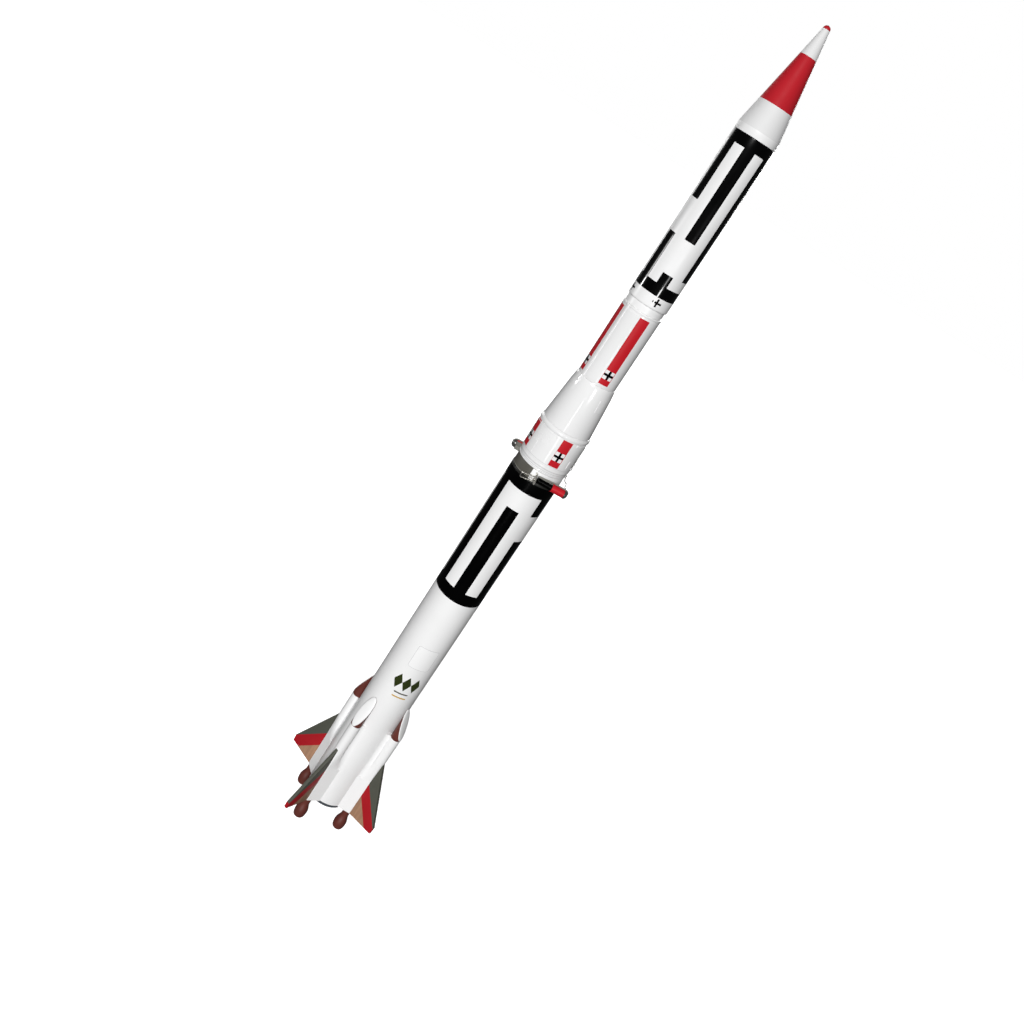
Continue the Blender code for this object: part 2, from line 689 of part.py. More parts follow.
def make_raceway(parent):
    """Thin raised strip along the short tube, square to the axis and rounded at its foot."""
    carrier = empty("raceway_azimuth", RACEWAY_AZIMUTH, parent)
    low = SMALL_R + GAP
    high = SMALL_R + RACEWAY_RISE
    outline = [(-RACEWAY_HALF, high), (RACEWAY_HALF, high), (RACEWAY_HALF, low), (-RACEWAY_HALF, low)]
    bm = loft([(SMALL_TUBE_Z + RACEWAY_MARGIN, outline), (STEP_Z - RACEWAY_MARGIN, outline)])
    finish("raceway", bm, white_paint(), carrier)


# Nose

def make_nose(parent):
    """Hollow cone on a shoulder, with a separate domed tip."""
    shoulder_r = UPPER_R - UPPER_WALL - SLIDE_GAP
    shoulder_bore_r = shoulder_r - SHOULDER_WALL
    tube("nose_shoulder", shoulder_r, shoulder_bore_r, NOSE_Z - SHOULDER, NOSE_Z - GAP,
         material("card", CARD, 0.7), parent)
    rise = TIP_Z - GAP - NOSE_Z
    hollow_top = rise - NOSE_SOLID
    taper = (UPPER_R - NOSE_TIP_R) / (rise - NOSE_BAND)
    profile = [
        (0.0, rise),
        (NOSE_TIP_R, rise),
        (UPPER_R, NOSE_BAND),
        (UPPER_R, 0.0),
        (shoulder_bore_r, 0.0),
        (UPPER_R - NOSE_WALL, NOSE_BAND),
        (NOSE_TIP_R + taper * NOSE_SOLID - NOSE_WALL, hollow_top),
        (0.0, hollow_top),
    ]
    finish("nose_cone", turned(profile, ROUND), white_paint(), parent, (0.0, 0.0, NOSE_Z), 20.0)
    height = TOP_Z - TIP_Z
    steps = 6
    tip = [(0.0, 0.0), (NOSE_TIP_R, 0.0)]
    for i in range(1, steps):
        turn = math.pi / 2.0 * i / steps
        tip.append((NOSE_TIP_R * math.cos(turn), height * math.sin(turn)))
    tip.append((0.0, height))
    finish("nose_tip", turned(tip, SMALL_ROUND), material("red_paint", RED, 0.35), parent, (0.0, 0.0, TIP_Z))


def main():
    clear_scene()
    booster = empty("booster")
    make_pods(booster)
    make_lower_tube(booster)
    make_motor(booster)
    for number, azimuth in enumerate(CLAMP_AZIMUTHS, start=1):
        make_clamp(number, azimuth, booster)
    upper_section = empty("upper_section")
    make_upper_section(upper_section)
    nose = empty("nose", 0.0, upper_section)
    make_nose(nose)


main()
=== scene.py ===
"""A flying model space rocket, painted white, black and red, standing on its four nozzles.

Metres, +Z up towards the nose. The front, with the crosses and the blank label, faces -Y. An azimuth
is measured from the front towards +X, in degrees.
"""
import json
from math import asin, copysign, cos, degrees, hypot, radians, sin, sqrt

import bmesh
import bpy
from mathutils import Matrix, Vector


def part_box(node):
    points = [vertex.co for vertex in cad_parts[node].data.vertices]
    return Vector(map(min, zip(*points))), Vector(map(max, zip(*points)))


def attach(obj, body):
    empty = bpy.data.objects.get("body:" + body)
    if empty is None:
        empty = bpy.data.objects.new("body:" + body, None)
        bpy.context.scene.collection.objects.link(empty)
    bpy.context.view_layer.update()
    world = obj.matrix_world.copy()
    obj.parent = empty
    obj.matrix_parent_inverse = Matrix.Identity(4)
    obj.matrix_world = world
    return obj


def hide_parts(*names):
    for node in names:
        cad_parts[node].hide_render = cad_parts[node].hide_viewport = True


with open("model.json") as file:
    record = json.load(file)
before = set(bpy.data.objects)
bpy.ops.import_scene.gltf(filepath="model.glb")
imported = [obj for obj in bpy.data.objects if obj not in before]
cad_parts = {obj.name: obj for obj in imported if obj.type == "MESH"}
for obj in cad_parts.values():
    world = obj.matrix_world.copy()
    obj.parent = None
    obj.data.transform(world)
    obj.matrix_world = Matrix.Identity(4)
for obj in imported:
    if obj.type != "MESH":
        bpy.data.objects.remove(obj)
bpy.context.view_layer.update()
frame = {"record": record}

# Camera, at the photograph's viewing angle
CAMERA_PLACE = (-0.4058, -1.0302, 1.0358)
CAMERA_TURN = (68.07, -30.91, -8.55)  # degrees about X, Y and Z
CAMERA_LENS = 33.87  # millimetres
CAMERA_SENSOR = 36.0  # millimetres
CAMERA_SHIFT = (-0.02963, -0.08383)

# Studio
FLOOR_SIZE = 60.0
FLOOR_GLOW = 0.86  # light of the floor itself, which hides its far edge
SKY_GREY = 0.06
GLOSS_LIGHT_R = 1.3  # distance of the narrow lights from the rocket's axis
GLOSS_LIGHT_WIDE = 0.14

# Mesh fineness
SIDES = 192
CASING_SIDES = 96
SMALL_SIDES = 48
SHARP = 38.0  # degrees between faces from which an edge is sharp
BEVEL_FROM = 40.0  # the same for an edge that is bevelled

# Colours in the scene's linear light: red, green, blue
WHITE = (0.80, 0.80, 0.80)
NOSE_WHITE = (0.68, 0.68, 0.68)
BLACK = (0.0008, 0.0008, 0.0009)
RED = (0.50, 0.013, 0.021)
NOSE_RED = (0.43, 0.014, 0.022)
RING_GREY = (0.088, 0.084, 0.070)
RIM_GREY = (0.012, 0.012, 0.011)
SADDLE_GREY = (0.19, 0.185, 0.165)
# paler grey for a painted highlight line on the interstage ring
PAINTED_HIGHLIGHT_GREY = (0.24, 0.23, 0.21)
CAP_GREY = (0.055, 0.054, 0.050)
SLATE = (0.060, 0.069, 0.079)
BROWN = (0.108, 0.026, 0.019)
FIN_GREY = (0.072, 0.074, 0.059)
TAN = (0.375, 0.212, 0.128)
GREEN = (0.023, 0.032, 0.006)
GOLD = (0.515, 0.305, 0.040)
LABEL_WHITE = (0.82, 0.82, 0.82)
LABEL_GREY = (0.50, 0.50, 0.51)
STEEL = (0.50, 0.48, 0.44)
BRIGHT_STEEL = (0.62, 0.60, 0.55)
CARD = (0.45, 0.33, 0.21)
CLAY = (0.42, 0.38, 0.33)
PLYWOOD = (0.50, 0.36, 0.20)

# Which body a CAD node belongs to, and its material slot
BODY_OF = {node: body for body, nodes in frame["record"]["behaviour"]["bodies"].items() for node in nodes}
SLOT_OF = {part["node"]: part["material_slot"] for part in frame["record"]["subparts"]}


def span(node):
    """Heights of a CAD node's foot and top."""
    low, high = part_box(node)
    return low.z, high.z


def outer(node):
    """Outer radius of a turned CAD node."""
    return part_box(node)[1].x


# Turned pieces
TUBE_R = outer("lower_tube")
TUBE_WALL = 0.0012
UPPER_R = outer("upper_tube")
UPPER_WALL = 0.0015
SMALL_R = outer("small_tube")
SMALL_BORE_R = SMALL_R - 0.0011
COUPLER_WALL = 0.0014
SHOULDER_WALL = 0.0016
SKIRT_R = outer("skirt")
RING_R = 0.0307
RING_FACE_R = 0.0324  # of the ring's visible face, almost flush with the tube
RING_BORE_R = 0.0290
BASE_BORE_R = 0.0270
MOTOR_BORE_R = 0.0148  # hole of the motor plates
SPIGOT_GAP = 0.0003  # between a spigot and the tube that it sits in
RIM = 0.0003  # rounding of a tube's edge
LAP = 0.0002  # how far a skin runs into the next piece
LONG_LAP = 0.0003  # the same for a tapered piece or a thin wall

# Pods
POD_AZIMUTHS = (-45.0, 45.0, 135.0, -135.0)
POD_AXIS_R = 0.0417
POD_R = 0.0077
POD_OUTER_R = POD_AXIS_R + POD_R
POD_FOOT_HALF = 0.0114
POD_REACH = 132.0  # degrees that the round part goes down each side
POD_JOIN_Z = span("pod_body_1")[1]
POD_TAPER_Z = 0.1335
POD_CUT_LOW_Z = 0.1793
POD_CUT_HIGH_Z = 0.2255
POD_SLOPE = (POD_CUT_HIGH_Z - POD_CUT_LOW_Z) / (2.0 * POD_R)
POD_CUT_NORMAL = Vector((0.0, -POD_SLOPE, 1.0)).normalized()
FAIRING_FOOT_Z, FAIRING_TOP_Z = span("fin_fairing_1")
FAIRING_RIDGE_R = 0.0479
FAIRING_RIDGE_HALF = 0.0027
FAIRING_BASE_HALF = 0.0119
FAIRING_FLANK_R = 0.0365
FAIRING_FLANK_HALF = 0.0088
FLANK_START = 0.25  # share of the round part that the ridge takes
FIN_HALF = 0.00225
FIN_LINE_SLOPE = 1.12  # rise of the paint lines for each metre inwards
SEAT = 0.0001  # how far a glued foot sinks into what carries it

# Clamp joint; START, END and MIDDLE lie along the bolt's line
CLAMP_AZIMUTHS = (-10.0, 170.0)
CLAMP_R = 0.0360
CLAMP_Z = 0.6134
BARREL_R = 0.0044
BARREL_START = -0.0014
SLEEVE_R = 0.0052
SLEEVE_START = 0.0185
SLEEVE_END = 0.0352
CAP_R = SLEEVE_R + 0.0004
CAP_END = 0.0402
FITTING_BACK = 0.0335
FITTING_FRONT = 0.0385
LINK_INSET = 0.0010  # of the link behind the block's front, and before its back
LINK_MIDDLE = -0.0134
BLOCK_START = -0.0052
EYE_PLACE = (-0.0034, -0.0012)  # along and above the bolt's line
EYE_R = 0.0013
STRAP_UP = -0.0015  # at the block, above the bolt's line
STRAP_SLOPE = 0.1235
SADDLE_START = 0.0190
SADDLE_END = 0.0355
SADDLE_SIDES = (39.0, 30.0)  # degrees from the clamp's middle to its far and near side
SADDLE_FALL = 0.42  # of its top, for each metre inwards

# Decals on the lower tube
FILM_THICK = 0.00006
FILM_LIFT = 0.00002
FILM_STEP = 0.0012  # across, between the cuts that let a film bend
LABEL_PLACE = (-0.5, 0.3138)  # azimuth, height
EMBLEM_PLACE = (-2.5, 0.2690)

# Raised trim on the upper section
PANEL_RISE = 0.00040
STRIP_RISE = 0.00030
HOOK_RISE = 0.0006
PLATE_SINK = 0.0002

ALL_ROUND = (-180.0, 180.0)


# Materials

def link(source, target):
    target.id_data.links.new(source, target)


def settings(node, values):
    """Set constants on a node's own sockets."""
    for name, value in values.items():
        node.inputs[name].default_value = value


def noise(place, scale, detail):
    """A noise texture's value over the object's own metres."""
    node = place.id_data.nodes.new("ShaderNodeTexNoise")
    settings(node, {"Scale": scale, "Detail": detail})
    link(place, node.inputs["Vector"])
    return node.outputs["Fac"]


def spread(value, source, target=(0.0, 1.0)):
    """Map a value from one range onto another, clamped."""
    node = value.id_data.nodes.new("ShaderNodeMapRange")
    settings(node, {"From Min": source[0], "From Max": source[1], "To Min": target[0], "To Max": target[1]})
    link(value, node.inputs["Value"])
    return node.outputs["Result"]


def blended(share, first, second):
    """Mix two colours; each is a colour or a socket."""
    node = share.id_data.nodes.new("ShaderNodeMix")
    node.data_type = "RGBA"
    link(share, node.inputs["Factor"])
    for name, colour in (("A", first), ("B", second)):
        socket = next(item for item in node.inputs if item.name == name and item.type == "RGBA")
        if isinstance(colour, tuple):
            socket.default_value = (*colour, 1.0)
        else:
            link(colour, socket)
    return next(item for item in node.outputs if item.type == "RGBA")


def bump(shader, height, strength, distance):
    node = height.id_data.nodes.new("ShaderNodeBump")
    settings(node, {"Strength": strength, "Distance": distance})
    link(height, node.inputs["Height"])
    link(node.outputs["Normal"], shader.inputs["Normal"])


def stretched(place, scale):
    node = place.id_data.nodes.new("ShaderNodeMapping")
    settings(node, {"Scale": scale})
    link(place, node.inputs["Vector"])
    return node.outputs["Vector"]


def begin(name):
    """A new material, its shader and the object's own coordinates."""
    made = bpy.data.materials.new(name)
    made.use_nodes = True
    nodes = made.node_tree.nodes
    return made, nodes["Principled BSDF"], nodes.new("ShaderNodeTexCoord").outputs["Object"]


def dress(shader, colour, wear, roughness, constants):
    """Give a shader its colour, a roughness that wear moves between two limits, and its constants."""
    link(colour, shader.inputs["Base Color"])
    link(spread(wear, (0.3, 0.7), roughness), shader.inputs["Roughness"])
    settings(shader, constants)


def darker(colour, share):
    return tuple(channel * share for channel in colour)


def paint(name, colour, roughness, specular=0.4, coat=0.0, tone=0.9, peel=0.10, coat_roughness=0.08):
    """Sprayed paint: faint clouding, fine specks of dust, orange peel and uneven gloss."""
    made, shader, place = begin(name)
    clouds = spread(noise(place, 14.0, 3.0), (0.35, 0.65))
    clouded = blended(clouds, darker(colour, tone), colour)
    specks = spread(noise(place, 900.0, 1.0), (0.70, 0.76), (0.0, 0.35))
    dress(shader, blended(specks, clouded, darker(colour, 0.8)), noise(place, 45.0, 4.0),
          (roughness * 0.85, roughness * 1.2),
          {"Specular IOR Level": specular, "Coat Weight": coat, "Coat Roughness": coat_roughness})
    bump(shader, noise(place, 380.0, 2.0), peel, 0.0002)
    return made


def plastic(name, colour, roughness):
    """Moulded plastic: slightly mottled, with a fine grain."""
    made, shader, place = begin(name)
    clouds = spread(noise(place, 60.0, 4.0), (0.35, 0.65))
    mottled = blended(clouds, darker(colour, 0.86), darker(colour, 1.06))
    dress(shader, mottled, noise(place, 220.0, 3.0), (roughness * 0.8, roughness * 1.25),
          {"Specular IOR Level": 0.4})
    bump(shader, noise(place, 1500.0, 2.0), 0.12, 0.0001)
    return made


def metal(name, colour, roughness, grain):
    """Turned or brushed metal; grain is the scale of its scratches along X, Y and Z."""
    made, shader, place = begin(name)
    scratches = noise(stretched(place, grain), 1.0, 5.0)
    tone = spread(scratches, (0.3, 0.7))
    dress(shader, blended(tone, darker(colour, 0.85), darker(colour, 1.08)), scratches,
          (roughness * 0.8, roughness * 1.35), {"Metallic": 1.0})
    bump(shader, scratches, 0.03, 0.00005)
    return made


def fibre(name, colour, grain, roughness=0.75):
    """Wood, wound card or pressed clay: fibres along the grain, over a broad tone."""
    made, shader, place = begin(name)
    fibres = noise(stretched(place, grain), 1.0, 6.0)
    broad = spread(noise(place, 30.0, 2.0), (0.3, 0.7))
    tone = blended(broad, darker(colour, 0.88), colour)
    dark = spread(fibres, (0.42, 0.62), (0.0, 0.55))
    dress(shader, blended(dark, tone, darker(colour, 0.62)), fibres,
          (roughness * 0.9, roughness * 1.1), {"Specular IOR Level": 0.3})
    bump(shader, fibres, 0.25, 0.0002)
    return made


white = paint("satin_white", WHITE, 0.36, specular=0.5, tone=0.97)
gloss_white = paint("gloss_white", WHITE, 0.14, specular=0.5, coat=0.3, tone=0.97, peel=0.02)
nose_white = paint("nose_white", NOSE_WHITE, 0.55, specular=0.2, tone=0.97)
black = paint("satin_black", BLACK, 0.22, specular=0.05, tone=0.7)
gloss_black = paint("gloss_black", BLACK, 0.22, specular=0.05, coat=0.3, tone=0.7, peel=0.03,
                    coat_roughness=0.05)
red = paint("gloss_red", RED, 0.34, specular=0.12, tone=0.93)
nose_red = paint("nose_red", NOSE_RED, 0.50, specular=0.06, tone=0.93)
ring_grey = paint("ring_grey", RING_GREY, 0.38)
rim_grey = paint("rim_grey", RIM_GREY, 0.35, specular=0.5)
saddle_grey = paint("saddle_grey", SADDLE_GREY, 0.45)
# paler grey of a painted highlight line low on the interstage ring
painted_highlight_grey = paint("painted_highlight_grey", PAINTED_HIGHLIGHT_GREY, 0.40)
cap_grey = paint("cap_grey", CAP_GREY, 0.22, specular=0.9, tone=0.85)
slate = paint("slate_paint", SLATE, 0.40, tone=0.88)
fin_grey = paint("fin_grey", FIN_GREY, 0.50, specular=0.2, tone=0.92, peel=0.16)
fin_red = paint("fin_red", darker(RED, 0.70), 0.50, specular=0.2, tone=0.93, peel=0.16)
green = paint("green_film", GREEN, 0.35, specular=0.35, tone=0.85)
gold = paint("gold_film", GOLD, 0.35, tone=0.92)
label_white = paint("label_white", LABEL_WHITE, 0.30, specular=0.5, tone=0.98, peel=0.05)
label_grey = paint("label_grey", LABEL_GREY, 0.30, specular=0.5, tone=0.95, peel=0.05)
tan = fibre("fin_tan", TAN, (260.0, 260.0, 22.0), 0.6)
brown = plastic("brown_plastic", BROWN, 0.42)
steel = metal("drawn_steel", STEEL, 0.26, (300.0, 300.0, 1500.0))
bright_steel = metal("bright_steel", BRIGHT_STEEL, 0.30, (300.0, 300.0, 1500.0))
card = fibre("wound_card", CARD, (90.0, 90.0, 900.0))
clay = fibre("pressed_clay", CLAY, (700.0, 700.0, 700.0), 0.9)
plywood = fibre("plywood", PLYWOOD, (60.0, 900.0, 900.0))


# Points and lines

def evenly(start, end, steps):
    """Evenly spaced values from start to end, both included."""
    return [start + (end - start) * i / steps for i in range(steps + 1)]


def arc(start, end, steps):
    """The same for angles: given in degrees, made in radians."""
    return [radians(angle) for angle in evenly(start, end, steps)]


def circle(steps):
    """Angles all round, in radians."""
    return arc(0.0, 360.0, steps)[:-1]


def curve(start, control, end, steps):
    """Points from start to end on a curve that bends towards the control point."""
    start, control, end = Vector(start), Vector(control), Vector(end)
    shares = evenly(0.0, 1.0, steps)
    return [tuple(start.lerp(control, share).lerp(control.lerp(end, share), share)) for share in shares]


def rounded(points, size, steps=3):
    """Round the inner corners of an open line of (radius, height) points."""
    made = [points[0]]
    for before, corner, after in zip(points, points[1:], points[2:]):
        corner = Vector(corner)
        to_before = Vector(before) - corner
        to_after = Vector(after) - corner
        reach = min(size, to_before.length * 0.45, to_after.length * 0.45)
        start = corner + to_before.normalized() * reach
        made += curve(start, corner, corner + to_after.normalized() * reach, steps)
    made.append(points[-1])
    return made


def rounded_box(half_wide, half_tall, corner, steps=6):
    points = []
    for quarter, (side, up) in enumerate(((1, 1), (-1, 1), (-1, -1), (1, -1))):
        for turn in arc(90.0 * quarter, 90.0 * quarter + 90.0, steps):
            across = side * (half_wide - corner) + corner * cos(turn)
            points.append((across, up * (half_tall - corner) + corner * sin(turn)))
    return points


def on_tube(radius, azimuth, height):
    turn = radians(azimuth)
    return Vector((radius * sin(turn), -radius * cos(turn), height))


# Mesh helpers

def turn_to(bm, azimuth):
    turn = Matrix.Rotation(radians(azimuth), 3, "Z")
    bmesh.ops.rotate(bm, cent=(0.0, 0.0, 0.0), matrix=turn, verts=bm.verts)


def placed(name, data):
    made = bpy.data.objects.new(name, data)
    bpy.context.collection.objects.link(made)
    return made


def piece(name, bm, paints, node, place=None, is_trim=False, sharp=SHARP, edge=0.0, edge_steps=2):
    """Make an object of a bmesh. It rides with a CAD node and stands for it, unless it is trim on it.

    The place of a piece that repeats round the rocket is (number, azimuth). Edge is the width of a bevel.
    """
    if place:
        number, azimuth = place
        name, node = f"{name}_{number}", f"{node}_{number}"
        turn_to(bm, azimuth)
    body, slot = BODY_OF[node], SLOT_OF[node]
    bmesh.ops.recalc_face_normals(bm, faces=bm.faces)
    mesh = bpy.data.meshes.new(name)
    bm.to_mesh(mesh)
    bm.free()
    mesh.shade_smooth()
    mesh.set_sharp_from_angle(angle=radians(sharp))
    for one in paints if isinstance(paints, tuple) else (paints,):
        mesh.materials.append(one)
    made = placed(name, mesh)
    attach(made, body)
    if not is_trim:
        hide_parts(node)
    if edge:
        modifier = made.modifiers.new("edges", "BEVEL")
        modifier.width = edge
        modifier.segments = edge_steps
        modifier.limit_method = "ANGLE"
        modifier.angle_limit = radians(BEVEL_FROM)


def cut(bm, place, normal, clear=False):
    """Cut a mesh along a plane; clear takes away what the normal points at and closes the cut."""
    geometry = bm.verts[:] + bm.edges[:] + bm.faces[:]
    made = bmesh.ops.bisect_plane(bm, geom=geometry, plane_co=place, plane_no=normal, clear_outer=clear)
    if clear:
        edges = [item for item in made["geom_cut"] if isinstance(item, bmesh.types.BMEdge)]
        bmesh.ops.contextual_create(bm, geom=edges)


def bridge(bm, here, there):
    """Add faces between two rings of corners, of which one may be a single corner; none if both are."""
    count = max(len(here), len(there))
    faces = []
    for i in range(count if count > 1 else 0):
        j = (i + 1) % count
        around = (here[i % len(here)], here[j % len(here)], there[j % len(there)], there[i % len(there)])
        faces.append(bm.faces.new(tuple(dict.fromkeys(around))))
    return faces


def add_body(bm, sections, is_ring=False):
    """Add a closed body through like outlines of 3-D points; a ring's last outline joins its first."""
    rings = [[bm.verts.new(point) for point in section] for section in sections]
    for here, there in zip(rings, rings[1:] + rings[:1] if is_ring else rings[1:]):
        bridge(bm, here, there)
    if not is_ring:
        bm.faces.new(rings[0])
        bm.faces.new(rings[-1])


def loft(sections):
    """A bmesh of one closed body."""
    bm = bmesh.new()
    add_body(bm, sections)
    return bm


def wire(path, radius, sides=10):
    """A bmesh of a round wire along a path of points."""
    points = [Vector(point) for point in path]
    side = (points[1] - points[0]).orthogonal()
    sections = []
    for before, point, after in zip(points[:1] + points, points, points[1:] + points[-1:]):
        along = (after - before).normalized()
        side = (side - along * side.dot(along)).normalized()
        other = along.cross(side)
        sections.append([point + (side * cos(turn) + other * sin(turn)) * radius for turn in circle(sides)])
    return loft(sections)


def ring_of(bm, radius, height, azimuths):
    """Add a circle of corners about Z, or a single corner on the axis."""
    if radius < 1e-7:
        return [bm.verts.new((0.0, 0.0, height))]
    return [bm.verts.new(on_tube(radius, azimuth, height)) for azimuth in azimuths]


def spin(bm, line, sides=SMALL_SIDES):
    """Add a body turned about Z from a line of (radius, height) whose ends lie on the axis."""
    azimuths = evenly(0.0, 360.0, sides)[:-1]
    rings = [ring_of(bm, radius, height, azimuths) for radius, height in line]
    for here, there in zip(rings, rings[1:]):
        bridge(bm, here, there)


# Turned and painted walls

def with_heights(points, heights):
    """Add points to a line where it crosses the given heights."""
    made = [points[0]]
    for here, there in zip(points, points[1:]):
        low, high = sorted((here[1], there[1]))
        inside = [height for height in heights if low + 1e-6 < height < high - 1e-6]
        for height in sorted(inside, reverse=there[1] < here[1]):
            share = (height - here[1]) / (there[1] - here[1])
            made.append((here[0] + (there[0] - here[0]) * share, height))
        made.append(there)
    return made


def azimuth_steps(sides, edges):
    """Azimuths all round, with a step at each paint edge and none close beside it."""
    edges = sorted({(edge + 180.0) % 360.0 - 180.0 for edge in edges})
    clear = 360.0 / sides * 0.3
    plain = [
        azimuth for azimuth in evenly(-180.0, 180.0, sides)[:-1]
        if all(abs(azimuth - edge) > clear for edge in edges)
    ]
    return sorted(plain + edges)


def paint_at(rows, azimuth, height):
    """The last row of a paint table that covers a place, or 0.

    Each row is (azimuth from, azimuth to, height from, height to, paint number).
    """
    found = 0
    for start, end, low, high, number in rows:
        reach = end - start
        if low <= height <= high and (reach > 359.9 or (azimuth - start) % 360.0 < reach):
            found = number
    return found


def turned(name, node, outside, inside, paints, rows=(), sides=SIDES, rim=RIM, is_trim=False):
    """A turned wall: outside runs from foot to top, inside back down between the outside's ends.

    The outside takes paint 0, or what the paint rows say; the inside takes the last paint.
    """
    heights = sorted({height for row in rows for height in row[2:4]})
    outline = with_heights(rounded(outside, rim), heights)
    outside_faces = len(outline) - 1
    outline += inside
    edges = [azimuth for row in rows if row[1] - row[0] < 360.0 for azimuth in row[:2]]
    azimuths = azimuth_steps(sides, edges)
    last_paint = len(paints) - 1 if isinstance(paints, tuple) else 0
    bm = bmesh.new()
    rings = [ring_of(bm, radius, height, azimuths) for radius, height in outline]
    for index, (here, there) in enumerate(zip(rings, rings[1:] + rings[:1])):
        middle = (outline[index][1] + outline[(index + 1) % len(outline)][1]) / 2.0
        for i, face in enumerate(bridge(bm, here, there)):
            step = (azimuths[(i + 1) % len(azimuths)] - azimuths[i]) % 360.0
            face.material_index = last_paint
            if index < outside_faces:
                face.material_index = paint_at(rows, azimuths[i] + step / 2.0, middle)
    piece(name, bm, paints, node, is_trim=is_trim)


def pipe(name, node, radius, bore, paints, rows=(), foot=0.0, top=0.0, sides=SIDES, rim=RIM):
    """A plain tube as tall as its CAD node, with rounded edges; foot and top move its ends."""
    low, high = span(node)
    low += foot
    high += top
    outside = [(bore, low), (radius, low), (radius, high), (bore, high)]
    turned(name, node, outside, [], paints, rows, sides, rim)


# Paint tables

def quarters(azimuth):
    return [azimuth + 90.0 * quarter for quarter in range(4)]


def column_rows(node, column_top, band, columns):
    """Black bands round the top and round the foot, and columns that repeat after half a turn.

    Each column is the azimuth of its first edge, and the stretches (low, high) in which it is black.
    """
    column_wide = 30.0
    rows = [(*ALL_ROUND, column_top, span(node)[1], 1), (*ALL_ROUND, *band, 1)]
    for half_turn in (0.0, 180.0):
        for start, stretches in columns:
            for stretch in stretches:
                rows.append((start + half_turn, start + half_turn + column_wide, *stretch, 1))
    return rows


def upper_tube_rows():
    """Bands and columns, and a small cross on each side below them."""
    band_low, band_high, column_top = 0.8715, 0.8849, 1.0535
    rows = column_rows("upper_tube", column_top, (band_low, band_high), (
        (-90.5, ((0.9832, column_top), (band_high, 0.9406))),
        (-30.5, ((0.9406, column_top), (band_high, 0.8984))),
        (29.5, ((0.8984, column_top),)),
    ))
    height, half_wide, half_tall, half_bar = 0.8651, 0.0058, 0.0050, 0.0012
    wide, bar = degrees(half_wide / UPPER_R), degrees(half_bar / UPPER_R)
    for azimuth in quarters(-0.5):
        rows += [
            (azimuth - wide, azimuth + wide, height - half_bar, height + half_bar, 1),
            (azimuth - bar, azimuth + bar, height - half_tall, height + half_tall, 1),
        ]
    return rows


def lower_tube_rows():
    band_low, band_high, column_top, bar_top = 0.4113, 0.4284, 0.5886, 0.5618
    return column_rows("lower_tube", column_top, (band_low, band_high), (
        (-94.5, ((band_high, column_top),)),
        (-34.5, ((band_high, bar_top),)),
        (25.5, ((bar_top, column_top), (band_high, 0.5222))),
    ))


def red_stripe_rows(azimuth, half, low, box_low, box_high, high, radius):
    """A red stripe with a white box in it that holds a black cross; a hair of red runs on at its sides.

    Paint 0 is white, 1 red and 2 black.
    """
    half_bar = 0.0015
    bar = degrees(half_bar / radius)
    middle = (box_low + box_high) / 2.0
    box_start = azimuth - half + degrees(0.0003 / radius)
    box_end = azimuth + half - degrees(0.0007 / radius)
    return [
        (azimuth - half, azimuth + half, low, high, 1),
        (box_start, box_end, box_low, box_high, 0),
        (box_start, box_end, middle - half_bar, middle + half_bar, 2),
        (azimuth - bar, azimuth + bar, box_low, box_high, 2),
    ]


def small_tube_rows():
    rows = []
    for azimuth in quarters(-0.5):
        rows += red_stripe_rows(azimuth, 15.0, 0.7515, 0.7588, 0.7703, 0.8419, SMALL_R)
    return rows


def skirt_rows():
    """Red stripes that start above a thin grey line, which is paint 4."""
    low, high = span("skirt")
    stripe_low = low + 0.0038
    rows = [(*ALL_ROUND, stripe_low - 0.0012, stripe_low - 0.0008, 4)]
    for azimuth in quarters(1.0):
        rows += red_stripe_rows(azimuth, 11.5, stripe_low, 0.6436, 0.6562, high, SKIRT_R)
    return rows


# Lower section

def make_lower_tube():
    pipe("lower_tube_skin", "lower_tube", TUBE_R, TUBE_R - TUBE_WALL, (white, black, card), lower_tube_rows())
    pipe("tube_rim_skin", "tube_rim", TUBE_R + 0.0002, RING_BORE_R + 0.0014, rim_grey, foot=-LAP, rim=0.0005)


def make_interstage_ring():
    """Ring on a spigot in the tube's mouth, with a groove in which the rim lies."""
    low, high = span("interstage_ring")
    shoulder = span("tube_rim")[1] + 0.0003
    groove = shoulder - 0.0036
    groove_r = RING_BORE_R + 0.0011
    spigot = TUBE_R - TUBE_WALL - SPIGOT_GAP
    outside = [
        (RING_BORE_R, low), (spigot, low), (spigot, groove), (groove_r, groove), (groove_r, shoulder),
        (RING_FACE_R, shoulder), (RING_FACE_R - 0.0002, high), (RING_BORE_R, high),
    ]
    # the left half is dark grey, up to just beside the front clamp, with a paler line low on it: a painted
    # highlight along the ring's lower edge
    rows = [
        (149.5, 329.5, shoulder - 0.0001, high + 0.0001, 1),
        (200.0, 320.0, shoulder + 0.0006, shoulder + 0.0012, 2),
    ]
    turned("interstage_ring_skin", "interstage_ring", outside, [],
           (white, ring_grey, painted_highlight_grey, white), rows)


def make_motor():
    """Ring, plates and casing at the foot of the tube, and a clay throat inside the casing."""
    base_r = outer("base_ring")
    pipe("base_ring_skin", "base_ring", base_r, BASE_BORE_R, slate, rim=0.0006)
    for node, plate_r in (("motor_plate", BASE_BORE_R - 0.0003), ("upper_plate", base_r)):
        pipe(f"{node}_wood", node, plate_r, MOTOR_BORE_R, plywood)
    low, high = span("motor")
    casing_r = outer("motor")
    casing_bore = casing_r - 0.0017
    pipe("motor_casing", "motor", casing_r, casing_bore, card, sides=CASING_SIDES)
    clay_r = casing_bore - 0.0001
    clay_low, clay_high = low + 0.0008, high - 0.001
    throat = low + 0.0120
    outside = [
        (0.0, throat), (0.0024, throat), (0.0030, low + 0.0080), (0.0062, clay_low), (clay_r, clay_low),
        (clay_r, clay_high), (0.0, clay_high),
    ]
    turned("motor_clay", "motor", outside, [], clay, sides=CASING_SIDES, is_trim=True)


